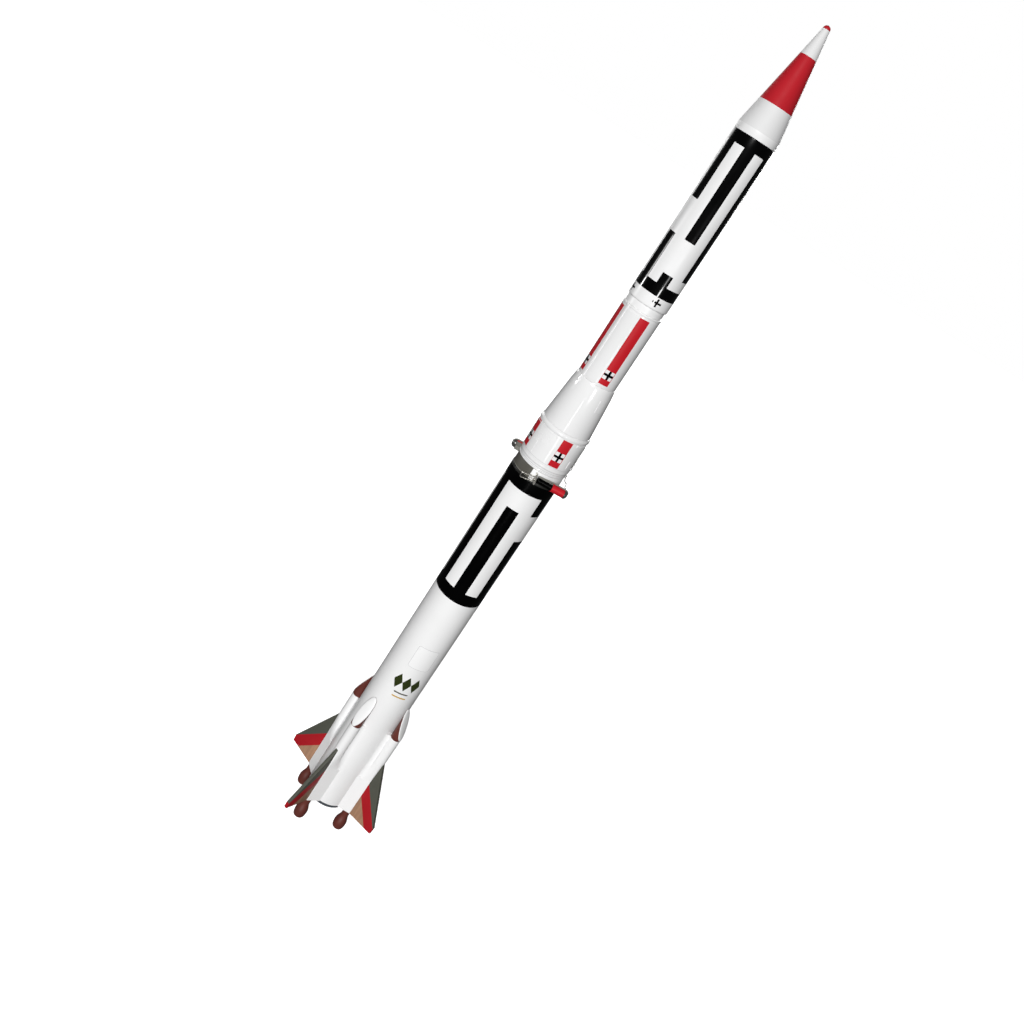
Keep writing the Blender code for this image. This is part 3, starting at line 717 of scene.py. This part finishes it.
def film(name, outline, azimuth, height, finish, lift=FILM_LIFT):
    """A thin film bent onto the lower tube; the outline is (across, up) in metres from its middle."""
    bm = bmesh.new()
    bm.faces.new([bm.verts.new((across, up, 0.0)) for across, up in outline])
    cuts = int(max(abs(across) for across, up in outline) / FILM_STEP)
    for i in range(-cuts, cuts + 1):
        cut(bm, (i * FILM_STEP, 0.0, 0.0), (1.0, 0.0, 0.0))
    grown = bmesh.ops.extrude_face_region(bm, geom=bm.faces[:])
    raised = [item for item in grown["geom"] if isinstance(item, bmesh.types.BMVert)]
    bmesh.ops.translate(bm, verts=raised, vec=(0.0, 0.0, FILM_THICK))
    for vert in bm.verts:
        across, up, above = vert.co
        vert.co = on_tube(TUBE_R + lift + above, azimuth + degrees(across / TUBE_R), height + up)
    piece(name, bm, finish, "lower_tube", is_trim=True)


def make_decals():
    """A blank label with a grey edge, and three lozenges over two lines."""
    film("label_edge", rounded_box(0.0150, 0.0176, 0.0030), *LABEL_PLACE, label_grey)
    film("label_field", rounded_box(0.0146, 0.0172, 0.0027), *LABEL_PLACE, label_white, FILM_LIFT * 3.0)
    azimuth, height = EMBLEM_PLACE
    half_wide, half_tall = 0.0062, 0.0122
    lozenge = ((half_wide, 0.0), (0.0, half_tall), (-half_wide, 0.0), (0.0, -half_tall))
    for number, turn in enumerate((-22.0, 0.0, 22.0), start=1):
        film(f"lozenge_{number}", lozenge, azimuth + turn, height, green)
    bar = rounded_box(0.0100, 0.0010, 0.0004, 3)
    film("bar_grey", bar, azimuth, height - 0.0170, ring_grey)
    film("bar_gold", bar, azimuth, height - 0.0240, gold)


# Pods, fins and nozzles: each is built at the front, and then turned to its place

def foot_line(half_width, steps=14):
    """The underside of a foot: across and out, from +half_width to -half_width."""
    surface = TUBE_R - SEAT
    reach = degrees(asin(half_width / surface))
    return [(surface * sin(turn), surface * cos(turn)) for turn in arc(reach, -reach, steps)]


def pod_outline(wedge, steps=48):
    """Round pod on a foot that sweeps out onto the tube; wedge 1 is the flat-flanked lower end."""
    points = []
    for turn in arc(-POD_REACH, POD_REACH, steps):
        share = abs(turn) / radians(POD_REACH)
        down = max(0.0, (share - FLANK_START) / (1.0 - FLANK_START))
        out = FAIRING_RIDGE_R + (FAIRING_FLANK_R - FAIRING_RIDGE_R) * down
        across = FAIRING_RIDGE_HALF + (FAIRING_FLANK_HALF - FAIRING_RIDGE_HALF) * down
        if share < FLANK_START:
            across = FAIRING_RIDGE_HALF * share / FLANK_START
        flat_point = Vector((copysign(across, turn), out))
        round_point = Vector((POD_R * sin(turn), POD_AXIS_R + POD_R * cos(turn)))
        points.append(tuple(round_point.lerp(flat_point, wedge)))
    across, out = points[-1]
    foot = foot_line(POD_FOOT_HALF)
    side = curve((across, out), (across + (POD_FOOT_HALF - across) * 0.20, out - 0.0036), foot[0], 8)[1:-1]
    return points + side + foot + [(-across, out) for across, out in reversed(side)]


def at_height(outline, height):
    return [(across, -out, height) for across, out in outline]


def cut_height(out):
    """Height of the pod's slanted face at a distance from the rocket's axis."""
    return POD_CUT_LOW_Z + POD_SLOPE * (POD_OUTER_R - out)


def make_pod_nose(place):
    outline = [(POD_R * sin(turn), POD_AXIS_R + POD_R * cos(turn)) for turn in circle(SMALL_SIDES)]
    bm = loft([at_height(outline, POD_JOIN_Z), at_height(outline, cut_height(TUBE_R - 0.002))])
    cut(bm, (0.0, -POD_OUTER_R, POD_CUT_LOW_Z), POD_CUT_NORMAL, clear=True)
    piece("pod_nose_shell", bm, brown, "pod_nose", place, edge=0.0003)


def make_pod_cover(place):
    """Crowned oval plate on the slanted face."""
    half_wide = POD_R - 0.00003
    half_long = half_wide * hypot(1.0, POD_SLOPE)
    # share of the plate's size, rise
    crown = ((1.0, -0.0002), (1.0, 0.0003), (0.985, 0.0005), (0.92, 0.0008), (0.78, 0.00112),
             (0.58, 0.00140), (0.32, 0.00158), (0.12, 0.00165))
    bm = loft([
        [(half_wide * share * sin(turn), half_long * share * cos(turn), rise) for turn in circle(64)]
        for share, rise in crown
    ])
    across = Vector((1.0, 0.0, 0.0))
    turn = Matrix((across, POD_CUT_NORMAL.cross(across), POD_CUT_NORMAL)).transposed().to_4x4()
    centre = Matrix.Translation((0.0, -POD_AXIS_R, cut_height(POD_AXIS_R)))
    bmesh.ops.transform(bm, matrix=centre @ turn, verts=bm.verts)
    piece("pod_cover_plate", bm, white, "pod_cover", place)


def make_pod_body(place):
    """Round body that eases into the wedge at its foot."""
    sections = [at_height(pod_outline(0.0), POD_JOIN_Z + LONG_LAP)]
    for share in evenly(0.0, 1.0, 12):
        height = POD_TAPER_Z + (FAIRING_TOP_Z - POD_TAPER_Z) * share
        sections.append(at_height(pod_outline(share ** 1.15), height))
    piece("pod_body_shell", loft(sections), white, "pod_body", place, sharp=26.0)


def make_fairing(place):
    outline = [(-FAIRING_RIDGE_HALF, FAIRING_RIDGE_R), (FAIRING_RIDGE_HALF, FAIRING_RIDGE_R)]
    outline += foot_line(FAIRING_BASE_HALF)
    bm = loft([at_height(outline, FAIRING_FOOT_Z), at_height(outline, FAIRING_TOP_Z)])
    piece("fin_fairing_shell", bm, white, "fin_fairing", place, edge=0.00035, edge_steps=3)


def make_fin(place):
    """Swept plate with a clipped tip, in three paints that meet along two slanted lines."""
    root = FAIRING_RIDGE_R - SEAT
    # out, height
    outline = [
        (root, 0.0331), (0.0889, 0.0378), (0.0893, 0.0483), (POD_OUTER_R - SEAT, POD_TAPER_Z),
        (root, FAIRING_TOP_Z),
    ]
    bm = loft([[(across, -out, height) for out, height in outline] for across in (-FIN_HALF, FIN_HALF)])
    bmesh.ops.bevel(bm, geom=bm.edges[:], offset=0.00035, segments=2, affect="EDGES", profile=0.6)
    normal = Vector((0.0, -FIN_LINE_SLOPE, 1.0)).normalized()
    # where each line leaves the fin's root
    lines = [Vector((0.0, -FAIRING_RIDGE_R, height)) for height in (0.0939, 0.0698)]
    for start in lines:
        cut(bm, start, normal)
    for face in bm.faces:
        middle = face.calc_center_median()
        face.material_index = sum((middle - start).dot(normal) < 0.0 for start in lines)
    piece("fin_plate", bm, (fin_grey, fin_red, tan), "fin", place)


def nozzle_line():
    """Outside of a nozzle, from its mouth over its lip and belly up to its neck: radius, height."""
    neck_r, belly_r, lip_r, mouth_r = 0.0054, 0.0089, 0.0070, 0.0054
    neck_z, belly_z, throat_z = 0.0255, 0.0098, 0.0140
    top = FAIRING_FOOT_Z + LONG_LAP
    points = [(0.0, throat_z), (mouth_r * 0.45, throat_z), (mouth_r, 0.0), (lip_r, 0.0)]
    for turn in arc(90.0, 0.0, 10)[1:]:
        points.append((lip_r + (belly_r - lip_r) * cos(turn), belly_z * (1.0 - sin(turn))))
    for share in evenly(1.0, 0.0, 18)[1:]:
        ease = share * share * (3.0 - 2.0 * share)
        points.append((neck_r + (belly_r - neck_r) * ease, neck_z + (belly_z - neck_z) * share))
    return points + [(neck_r, top), (0.0, top)]


def make_nozzle(place):
    bm = bmesh.new()
    spin(bm, nozzle_line())
    bmesh.ops.translate(bm, verts=bm.verts, vec=(0.0, -POD_AXIS_R, 0.0))
    piece("nozzle_shell", bm, brown, "nozzle", place, sharp=50.0)


def make_pods():
    for place in enumerate(POD_AZIMUTHS, start=1):
        make_pod_nose(place)
        make_pod_cover(place)
        make_pod_body(place)
        make_fairing(place)
        make_fin(place)
        make_nozzle(place)


# Clamp joint: built at the front with the bolt's line along +X, and then turned to its place

def at_clamp(points, out=CLAMP_R):
    """Put points (along, up) from the bolt's line at a distance from the rocket's axis."""
    return [(along, -out, CLAMP_Z + up) for along, up in points]


def make_fitting(place):
    """Slotted link with a pin lying in it, and the tall hooked block that the bolt goes through."""

    def strap_up(along):
        return STRAP_UP + STRAP_SLOPE * (along - BLOCK_START)

    # half length, half height, corner radius
    outer_edge, slot_edge = (
        [(along + LINK_MIDDLE, up + strap_up(along + LINK_MIDDLE)) for along, up in rounded_box(*size)]
        for size in ((0.0088, 0.0038, 0.0022), (0.0078, 0.0027, 0.0012))
    )
    link_back, link_front = FITTING_BACK + LINK_INSET, FITTING_FRONT - LINK_INSET
    bm = bmesh.new()
    add_body(bm, [
        at_clamp(outer_edge, link_back), at_clamp(outer_edge, link_front),
        at_clamp(slot_edge, link_front), at_clamp(slot_edge, link_back),
    ], is_ring=True)
    hook = [
        (-0.0052, -0.0044), (-0.0036, -0.0068), (-0.0018, -0.0081), (-0.0012, -0.0050), (-0.0017, -0.0020),
        (-0.0017, 0.0004), (-0.0032, 0.0022), (-0.0038, 0.0056), (-0.0050, 0.0072), (-0.0070, 0.0064),
        (-0.0058, 0.0046), (-0.0056, 0.0010),
    ]
    add_body(bm, [at_clamp(hook, FITTING_BACK), at_clamp(hook, FITTING_FRONT)])
    piece("clamp_link", bm, bright_steel, "clamp_fitting", place, edge=0.0004)
    pin = wire(at_clamp([(along, strap_up(along)) for along in (-0.0129, -0.0126, -0.0050)]), 0.0007, 16)
    piece("clamp_pin", pin, steel, "clamp_fitting", place, is_trim=True)
    eye_along, eye_up = EYE_PLACE
    ring = [(eye_along + EYE_R * cos(turn), eye_up + EYE_R * sin(turn)) for turn in arc(0.0, 360.0, 16)]
    eye = wire(at_clamp(ring, FITTING_FRONT + 0.0002), 0.0005, 8)
    piece("clamp_eye", eye, steel, "clamp_fitting", place, is_trim=True)


def bolt_part(name, line, start, finish, node, place, sharp=SHARP):
    """Turn a line about Z, lay it along the bolt's line from a start, and make it a piece."""
    bm = bmesh.new()
    spin(bm, line)
    turn = Matrix.Rotation(radians(90.0), 4, "Y")
    bmesh.ops.transform(bm, matrix=Matrix.Translation((start, -CLAMP_R, CLAMP_Z)) @ turn, verts=bm.verts)
    piece(name, bm, finish, node, place, sharp=sharp)


def make_bolt(place):
    """Dark barrel with three shallow grooves, red sleeve and domed cap, in line."""
    chamfer = 0.0004
    deep, slope, wide = 0.0003, 0.0002, 0.0008
    line = [(0.0, 0.0), (BARREL_R - chamfer, 0.0), (BARREL_R, chamfer)]
    for groove in (0.0030, 0.0050, 0.0160):
        line += [(BARREL_R, groove), (BARREL_R - deep, groove + slope),
                 (BARREL_R - deep, groove + wide - slope), (BARREL_R, groove + wide)]
    length = SLEEVE_START - BARREL_START
    line += [(BARREL_R, length), (0.0, length)]
    bolt_part("clamp_barrel_skin", line, BARREL_START, black, "clamp_barrel", place, 30.0)
    length = SLEEVE_END - SLEEVE_START
    chamfer = 0.0003
    line = [(0.0, 0.0), (SLEEVE_R - chamfer, 0.0), (SLEEVE_R, chamfer), (SLEEVE_R, length - chamfer),
            (SLEEVE_R - chamfer, length), (0.0, length)]
    bolt_part("clamp_sleeve_skin", line, SLEEVE_START, red, "clamp_sleeve", place)
    length = CAP_END - SLEEVE_END
    foot = 0.0010
    line = [(0.0, 0.0), (CAP_R, 0.0), (CAP_R, 0.0005), (CAP_R - 0.0003, 0.0007), (CAP_R - 0.0003, 0.0009)]
    for turn in arc(0.0, 90.0, 10)[:-1]:
        line.append((CAP_R * cos(turn), foot + (length - foot) * sin(turn)))
    line.append((0.0, length))
    bolt_part("clamp_cap_skin", line, SLEEVE_END, cap_grey, "clamp_cap", place, 30.0)


def make_rods(place):
    """Rod from the hooked block over the sleeve and down the cap, and a thin rod beside it on the barrel."""
    above = SLEEVE_R + 0.0009
    bend_start = 0.0345
    path = [(-0.0024, 0.0040), (-0.0004, 0.0046), (0.0120, 0.0056), (0.0180, above), (bend_start, above)]
    for turn in arc(0.0, 72.0, 7)[1:]:
        path.append((bend_start + above * sin(turn) * 0.92, above * cos(turn)))
    piece("clamp_rod_wire", wire(at_clamp(path), 0.0009), saddle_grey, "clamp_rod", place)
    path = [(-0.0018, 0.0044), (0.0010, 0.0044), (0.0182, 0.0044)]
    thin = wire(at_clamp(path, CLAMP_R + 0.0016), 0.0005, 8)
    piece("clamp_thin_rod", thin, saddle_grey, "clamp_rod", place, is_trim=True)


def make_saddle(place):
    """Saddle between the ring and the sleeve, its top falling towards the ring."""
    surface = RING_R - SEAT
    under_sleeve = CLAMP_R - SLEEVE_R + 0.0018
    far_side = surface * cos(radians(SADDLE_SIDES[0]))
    outline = [(SADDLE_START, under_sleeve), (SADDLE_END, under_sleeve), (SADDLE_END, far_side)]
    outline += [(surface * sin(turn), surface * cos(turn)) for turn in arc(*SADDLE_SIDES, 6)]
    low = at_height(outline, CLAMP_Z - 0.0032)
    high = [(along, -out, CLAMP_Z + 0.0052 - SADDLE_FALL * (under_sleeve - out)) for along, out in outline]
    piece("clamp_saddle", loft([low, high]), saddle_grey, "clamp_bracket", place, edge=0.0005, edge_steps=3)


def make_safety_wire():
    """Thin wire from beside the skirt's lip down to the front clamp's cap."""
    # along the bolt's line, out, height above the bolt's line
    path = [
        (0.0324, 0.0090, 0.0128), (0.0324, 0.0106, 0.0084), (0.0332, 0.0122, 0.0062),
        (0.0346, 0.0142, 0.0054), (0.0360, 0.0170, 0.0060), (0.0354, 0.0210, 0.0058),
        (0.0342, 0.0250, 0.0055), (0.0338, 0.0300, 0.0058), (0.0344, 0.0345, 0.0064),
    ]
    bm = wire([(along, -out, CLAMP_Z + up) for along, out, up in path], 0.0006, 8)
    turn_to(bm, CLAMP_AZIMUTHS[0])
    piece("clamp_safety_wire", bm, ring_grey, "clamp_rod_1", is_trim=True)


def make_clamps():
    for place in enumerate(CLAMP_AZIMUTHS, start=1):
        make_fitting(place)
        make_bolt(place)
        make_rods(place)
        make_saddle(place)
    make_safety_wire()


# Upper section

def make_skirt():
    """Card coupler, and the grooved lip, the skirt and its ridge."""
    coupler_r = outer("stage_coupler")
    pipe("stage_coupler_card", "stage_coupler", coupler_r, coupler_r - COUPLER_WALL, card)
    low, high = span("skirt_lip")
    bore = coupler_r + 0.0001
    outside = [
        (bore, low), (0.0322, low), (0.0327, low + 0.0006), (0.0330, low + 0.0014), (0.0330, low + 0.0020),
        (0.0325, low + 0.0026), (0.0325, low + 0.0038), (0.0329, low + 0.0044), (0.0329, low + 0.0064),
        (0.0333, low + 0.0070), (0.0336, low + 0.0080), (0.0336, high + LAP), (bore, high + LAP),
    ]
    # grey lines on the walls of the lip's grooves: painted shade in the grooves
    rows = [(*ALL_ROUND, low + start, low + start + 0.0005, 1) for start in (0.0022, 0.0040, 0.0066)]
    turned("skirt_lip_skin", "skirt_lip", outside, [(bore, high)],
           (gloss_white, label_grey, gloss_white), rows, rim=0.00025)
    pipe("skirt_skin", "skirt", SKIRT_R, SKIRT_R - TUBE_WALL,
         (gloss_white, red, black, gloss_white, label_grey, white), skirt_rows(), top=LAP, rim=0.0002)
    low, high = span("skirt_ridge")
    ridge_r = outer("skirt_ridge")
    foot_r = SKIRT_R - 0.0003
    bore = 0.0311
    outside = [
        (bore, low), (foot_r, low), (foot_r, low + 0.0006), (ridge_r, low + 0.0012), (ridge_r, high - 0.0022),
        (0.0329, high - 0.0010), (0.0323, high + LAP), (bore, high + LAP),
    ]
    turned("skirt_ridge_skin", "skirt_ridge", outside, [(bore, high)], gloss_white, rim=0.0006)


def flare_line():
    """Outside of the flare from its foot to its top: radius, height."""
    low, high = span("flare")
    bend = [(0.0275, high - 0.0126), (0.0268, high - 0.0078), (0.0262, high - 0.0030), (0.0254, high)]
    return [(0.0323, low), *bend]


def skin_radius(height):
    """Outer radius of the skirt, the flare or the short tube at a height."""
    line = flare_line()
    if height < line[0][1]:
        return SKIRT_R
    for (low_r, low), (high_r, high) in zip(line, line[1:]):
        if height <= high:
            return low_r + (high_r - low_r) * (height - low) / (high - low)
    return SMALL_R


def make_flare():
    line = flare_line()
    top_r, top = line[-1]
    inside = [(radius - TUBE_WALL, height) for radius, height in reversed(line)]
    outside = [inside[-1], *line[:-1], (top_r - 0.0001, top + LONG_LAP), inside[0]]
    turned("flare_skin", "flare", outside, inside[1:-1], gloss_white, rim=0.004)


def make_upper_tubes():
    pipe("small_tube_skin", "small_tube", SMALL_R, SMALL_BORE_R,
         (gloss_white, red, black, card), small_tube_rows(), top=LONG_LAP, rim=0.0001)
    pipe("step_ring_skin", "step_ring", outer("step_ring") + 0.0001, SMALL_BORE_R, white, rim=0.0006)
    low, high = span("groove_ring")
    band_low = span("step_ring")[1]
    band_high = span("upper_tube")[0]
    band_r = outer("groove_ring")
    spigot = SMALL_BORE_R - SPIGOT_GAP
    bore = spigot - 0.0014
    outside = [
        (bore, low), (spigot, low), (spigot, band_low), (band_r, band_low + 0.0003),
        (band_r, band_high - 0.0002), (spigot, band_high), (spigot, high), (bore, high),
    ]
    turned("groove_ring_skin", "groove_ring", outside, [], white, rim=0.0002)
    pipe("upper_tube_skin", "upper_tube", UPPER_R, UPPER_R - UPPER_WALL,
         (white, gloss_black, card), upper_tube_rows(), rim=0.0005)


def make_raceway():
    """Raised strip along the short tube, with a round foot on the flare and a thicker top."""
    azimuth, half, rise, edge = -65.0, 0.0022, 0.0010, 0.0004
    foot, thick_from = 0.7390, 0.8447
    sink = -0.0003
    top = span("step_ring")[1]
    heights = [foot + half * (1.0 - cos(turn)) for turn in arc(0.0, 90.0, 8)]
    heights += [0.7473, 0.7485, 0.7525, 0.8443, 0.8451, top - 0.0004, top]
    sections = []
    for height in heights:
        below = max(0.0, foot + half - height)
        wide = sqrt(max(half * half - below * below, 1e-8))
        base = max(skin_radius(height), SMALL_R)
        lift = rise + (0.0004 if height > thick_from else 0.0)
        corner = min(edge, wide * 0.45)
        near = corner * 0.3
        side = [(wide - corner, lift), (wide - near, lift - near), (wide, lift - corner), (wide, sink)]
        line = [(-across, up) for across, up in reversed(side)] + side
        sections.append([on_tube(base + up, degrees(across / base), height) for across, up in line])
    bm = loft(sections)
    turn_to(bm, azimuth)
    piece("raceway_strip", bm, gloss_white, "raceway", sharp=50.0)


def raised(name, areas, finish, edge, edge_steps=2, least_steps=4):
    """Thin raised plates on the skin, as one piece: azimuth from and to, height from and to, rise."""
    bm = bmesh.new()
    for start, end, low, high, rise in areas:
        corners = ((low, -PLATE_SINK), (low, rise), (high, rise), (high, -PLATE_SINK))
        steps = max(least_steps, int((end - start) / 2.0))
        add_body(bm, [
            [on_tube(skin_radius(height) + lift, azimuth, height) for height, lift in corners]
            for azimuth in evenly(start, end, steps)
        ])
    piece(name, bm, finish, "skirt", is_trim=True, edge=edge, edge_steps=edge_steps)


def make_panels():
    """Thin plates, strips and hooks on the skirt, the flare and the short tube."""
    # name, azimuth from, azimuth to, height from, height to
    for name, *area in (
            ("skirt_panel_left", -73.5, -55.5, 0.6351, 0.6516),
            ("skirt_panel_right", 31.5, 36.5, 0.6384, 0.6495),
            ("flare_panel", 18.5, 36.5, 0.7176, 0.7341),
            ("tube_panel", -57.0, -20.0, 0.7500, 0.8415)):
        raised(name, [(*area, PANEL_RISE)], gloss_white, 0.00008)
    strips = [(start, end, 0.6707, 0.6712, PANEL_RISE) for start, end in ((-150.0, -25.0), (26.0, 205.0))]
    for i in range(5):
        low = 0.6545 + 0.0026 * i
        strips.append((-70.0, -32.0, low, low + 0.0005, STRIP_RISE))
    raised("skirt_strips", strips, gloss_white, 0.00006, edge_steps=1)
    places = (-24.5, 25.5, 155.5, 205.5)
    hooks = [(azimuth - 1.1, azimuth + 1.1, 0.6693, 0.6729, HOOK_RISE) for azimuth in places]
    raised("skirt_hooks", hooks, gloss_white, 0.0003, least_steps=2)


def make_lugs():
    """Three round lugs, painted grey for their shade, on a dark grey plate that is painted shadow round them,
    beside the skirt's right panel.
    """
    # dark grey plate under the lugs: painted shadow round them
    raised("lug_shade_plate", [(52.5, 59.5, 0.6352, 0.6524, HOOK_RISE)], ring_grey, 0.0002)
    azimuth, foot = 56.0, -0.0004
    outward = Matrix.Rotation(radians(90.0), 4, "X")
    bm = bmesh.new()
    # height, radius of the lug, how far it stands out
    for height, size, rise in ((0.6378, 0.0022, 0.0018), (0.6440, 0.0020, 0.0016), (0.6505, 0.0015, 0.0012)):
        before = len(bm.verts)
        line = [(0.0, foot), (size, foot), (size, rise * 0.4), (size * 0.8, rise * 0.85), (size * 0.45, rise)]
        spin(bm, [*line, (0.0, rise)], 24)
        place = Matrix.Translation((0.0, -SKIRT_R, height))
        bmesh.ops.transform(bm, matrix=place @ outward, verts=bm.verts[before:])
    turn_to(bm, azimuth)
    # grey on the lugs: painted shade
    piece("skirt_lugs", bm, label_grey, "skirt", is_trim=True, edge=0.0002)


# Nose

def make_nose():
    """Card shoulder, cone with a red band and a white foot, and a round tip painted black over its top."""
    shoulder_r = outer("nose_shoulder")
    shoulder_bore = shoulder_r - SHOULDER_WALL
    pipe("nose_shoulder_card", "nose_shoulder", shoulder_r, shoulder_bore, card, top=LAP, rim=0.0006)
    low, high = span("nose_cone")
    tip_r = outer("nose_tip")
    foot_top = low + 0.0084
    top = high + LONG_LAP
    roof = high - 0.020
    outside = [(shoulder_bore, low), (UPPER_R, low), (UPPER_R, foot_top), (tip_r, top), (0.0, top)]
    inside = [(0.0, roof), (tip_r + 0.0016, roof), (UPPER_R - 0.0020, foot_top)]
    rows = [(*ALL_ROUND, 1.1052, 1.1628, 1), (*ALL_ROUND, low - 0.001, foot_top, 2)]
    turned("nose_cone_skin", "nose_cone", outside, inside,
           (nose_white, nose_red, white, nose_white), rows, rim=0.0004)
    low, high = span("nose_tip")
    tall = high - low
    dome = [(tip_r * cos(turn), low + tall * sin(turn)) for turn in arc(0.0, 90.0, 14)[:-1]]
    rows = [(*ALL_ROUND, low + tall * 0.80, high + 0.001, 1)]
    turned("nose_tip_skin", "nose_tip", [(0.0, low), (tip_r, low), *dome, (0.0, high)], [],
           (nose_red, black, nose_red), rows, SMALL_SIDES, 0.0001)


# Studio

def make_floor():
    """A white floor that the camera sees, and that throws no light or reflection on the rocket."""
    mesh = bpy.data.meshes.new("floor")
    half = FLOOR_SIZE / 2.0
    corners = [(-half, -half, 0.0), (half, -half, 0.0), (half, half, 0.0), (-half, half, 0.0)]
    mesh.from_pydata(corners, [], [(0, 1, 2, 3)])
    made = placed("floor", mesh)
    finish, shader, place = begin("pale_floor")
    tone = spread(noise(place, 3.0, 3.0), (0.3, 0.7))
    link(blended(tone, (0.78, 0.78, 0.78), (0.80, 0.80, 0.80)), shader.inputs["Base Color"])
    settings(shader, {"Roughness": 0.9, "Specular IOR Level": 0.0, "Emission Color": (1.0, 1.0, 1.0, 1.0),
                      "Emission Strength": FLOOR_GLOW})
    mesh.materials.append(finish)
    made.visible_diffuse = False
    made.visible_glossy = False


def light(name, kind, power, place, target):
    data = bpy.data.lights.new(name, kind)
    data.energy = power
    made = placed(name, data)
    made.location = place
    made.rotation_euler = (target - place).to_track_quat("-Z", "Y").to_euler()
    return made


def area_light(name, power, place, target, size):
    made = light(name, "AREA", power, place, target)
    made.data.shape = "RECTANGLE"
    made.data.size, made.data.size_y = size
    return made


def make_lights():
    """A soft light from the camera's side and two from behind, and upright strips for the gloss."""
    # name, azimuth, rise, strength, angle of spread
    for name, azimuth, rise, strength, angle in (
            ("key", -25.0, 0.37, 3.55, 14.0), ("back", 148.0, 0.21, 2.50, 30.0),
            ("back_left", -170.0, 0.21, 0.90, 40.0)):
        made = light(name, "SUN", strength, on_tube(1.0, azimuth, rise), Vector((0.0, 0.0, 0.0)))
        made.data.angle = radians(angle)
    area_light("strip", 1.1, on_tube(1.35, -18.5, 0.29), Vector((0.0, 0.0, 0.50)), (0.05, 0.52))
    # narrow lights that only gloss shows: azimuth, height of the middle, tall, power
    for azimuth, height, tall, power in (
            (3.5, 0.670, 0.06, 2.4), (3.5, 0.760, 0.12, 0.6),
            (-105.5, 0.670, 0.06, 3.2), (-105.5, 0.760, 0.12, 1.4)):
        made = area_light("line", power, on_tube(GLOSS_LIGHT_R, azimuth, height), Vector((0.0, 0.0, height)),
                          (GLOSS_LIGHT_WIDE, tall))
        made.visible_diffuse = False


def make_sky():
    """A dim grey sky, which the camera sees as white."""
    world = bpy.data.worlds.new("studio")
    world.use_nodes = True
    nodes = world.node_tree.nodes
    lit = nodes["Background"]
    settings(lit, {"Color": (SKY_GREY, SKY_GREY, SKY_GREY, 1.0)})
    seen = nodes.new("ShaderNodeBackground")
    settings(seen, {"Color": (1.0, 1.0, 1.0, 1.0)})
    path = nodes.new("ShaderNodeLightPath")
    mix = nodes.new("ShaderNodeMixShader")
    link(path.outputs["Is Camera Ray"], mix.inputs["Fac"])
    link(lit.outputs["Background"], mix.inputs[1])
    link(seen.outputs["Background"], mix.inputs[2])
    link(mix.outputs["Shader"], nodes["World Output"].inputs["Surface"])
    bpy.context.scene.world = world


def make_camera():
    data = bpy.data.cameras.new("camera")
    data.lens = CAMERA_LENS
    data.sensor_width = CAMERA_SENSOR
    data.shift_x, data.shift_y = CAMERA_SHIFT
    data.clip_start = 0.01
    data.clip_end = 100.0
    made = placed("camera", data)
    made.location = CAMERA_PLACE
    made.rotation_euler = tuple(radians(angle) for angle in CAMERA_TURN)
    bpy.context.scene.camera = made


make_camera()
make_lower_tube()
make_interstage_ring()
make_motor()
make_decals()
make_pods()
make_clamps()
make_skirt()
make_flare()
make_upper_tubes()
make_raceway()
make_panels()
make_lugs()
make_nose()
make_floor()
make_lights()
make_sky()
bpy.context.scene.view_settings.view_transform = "Standard"
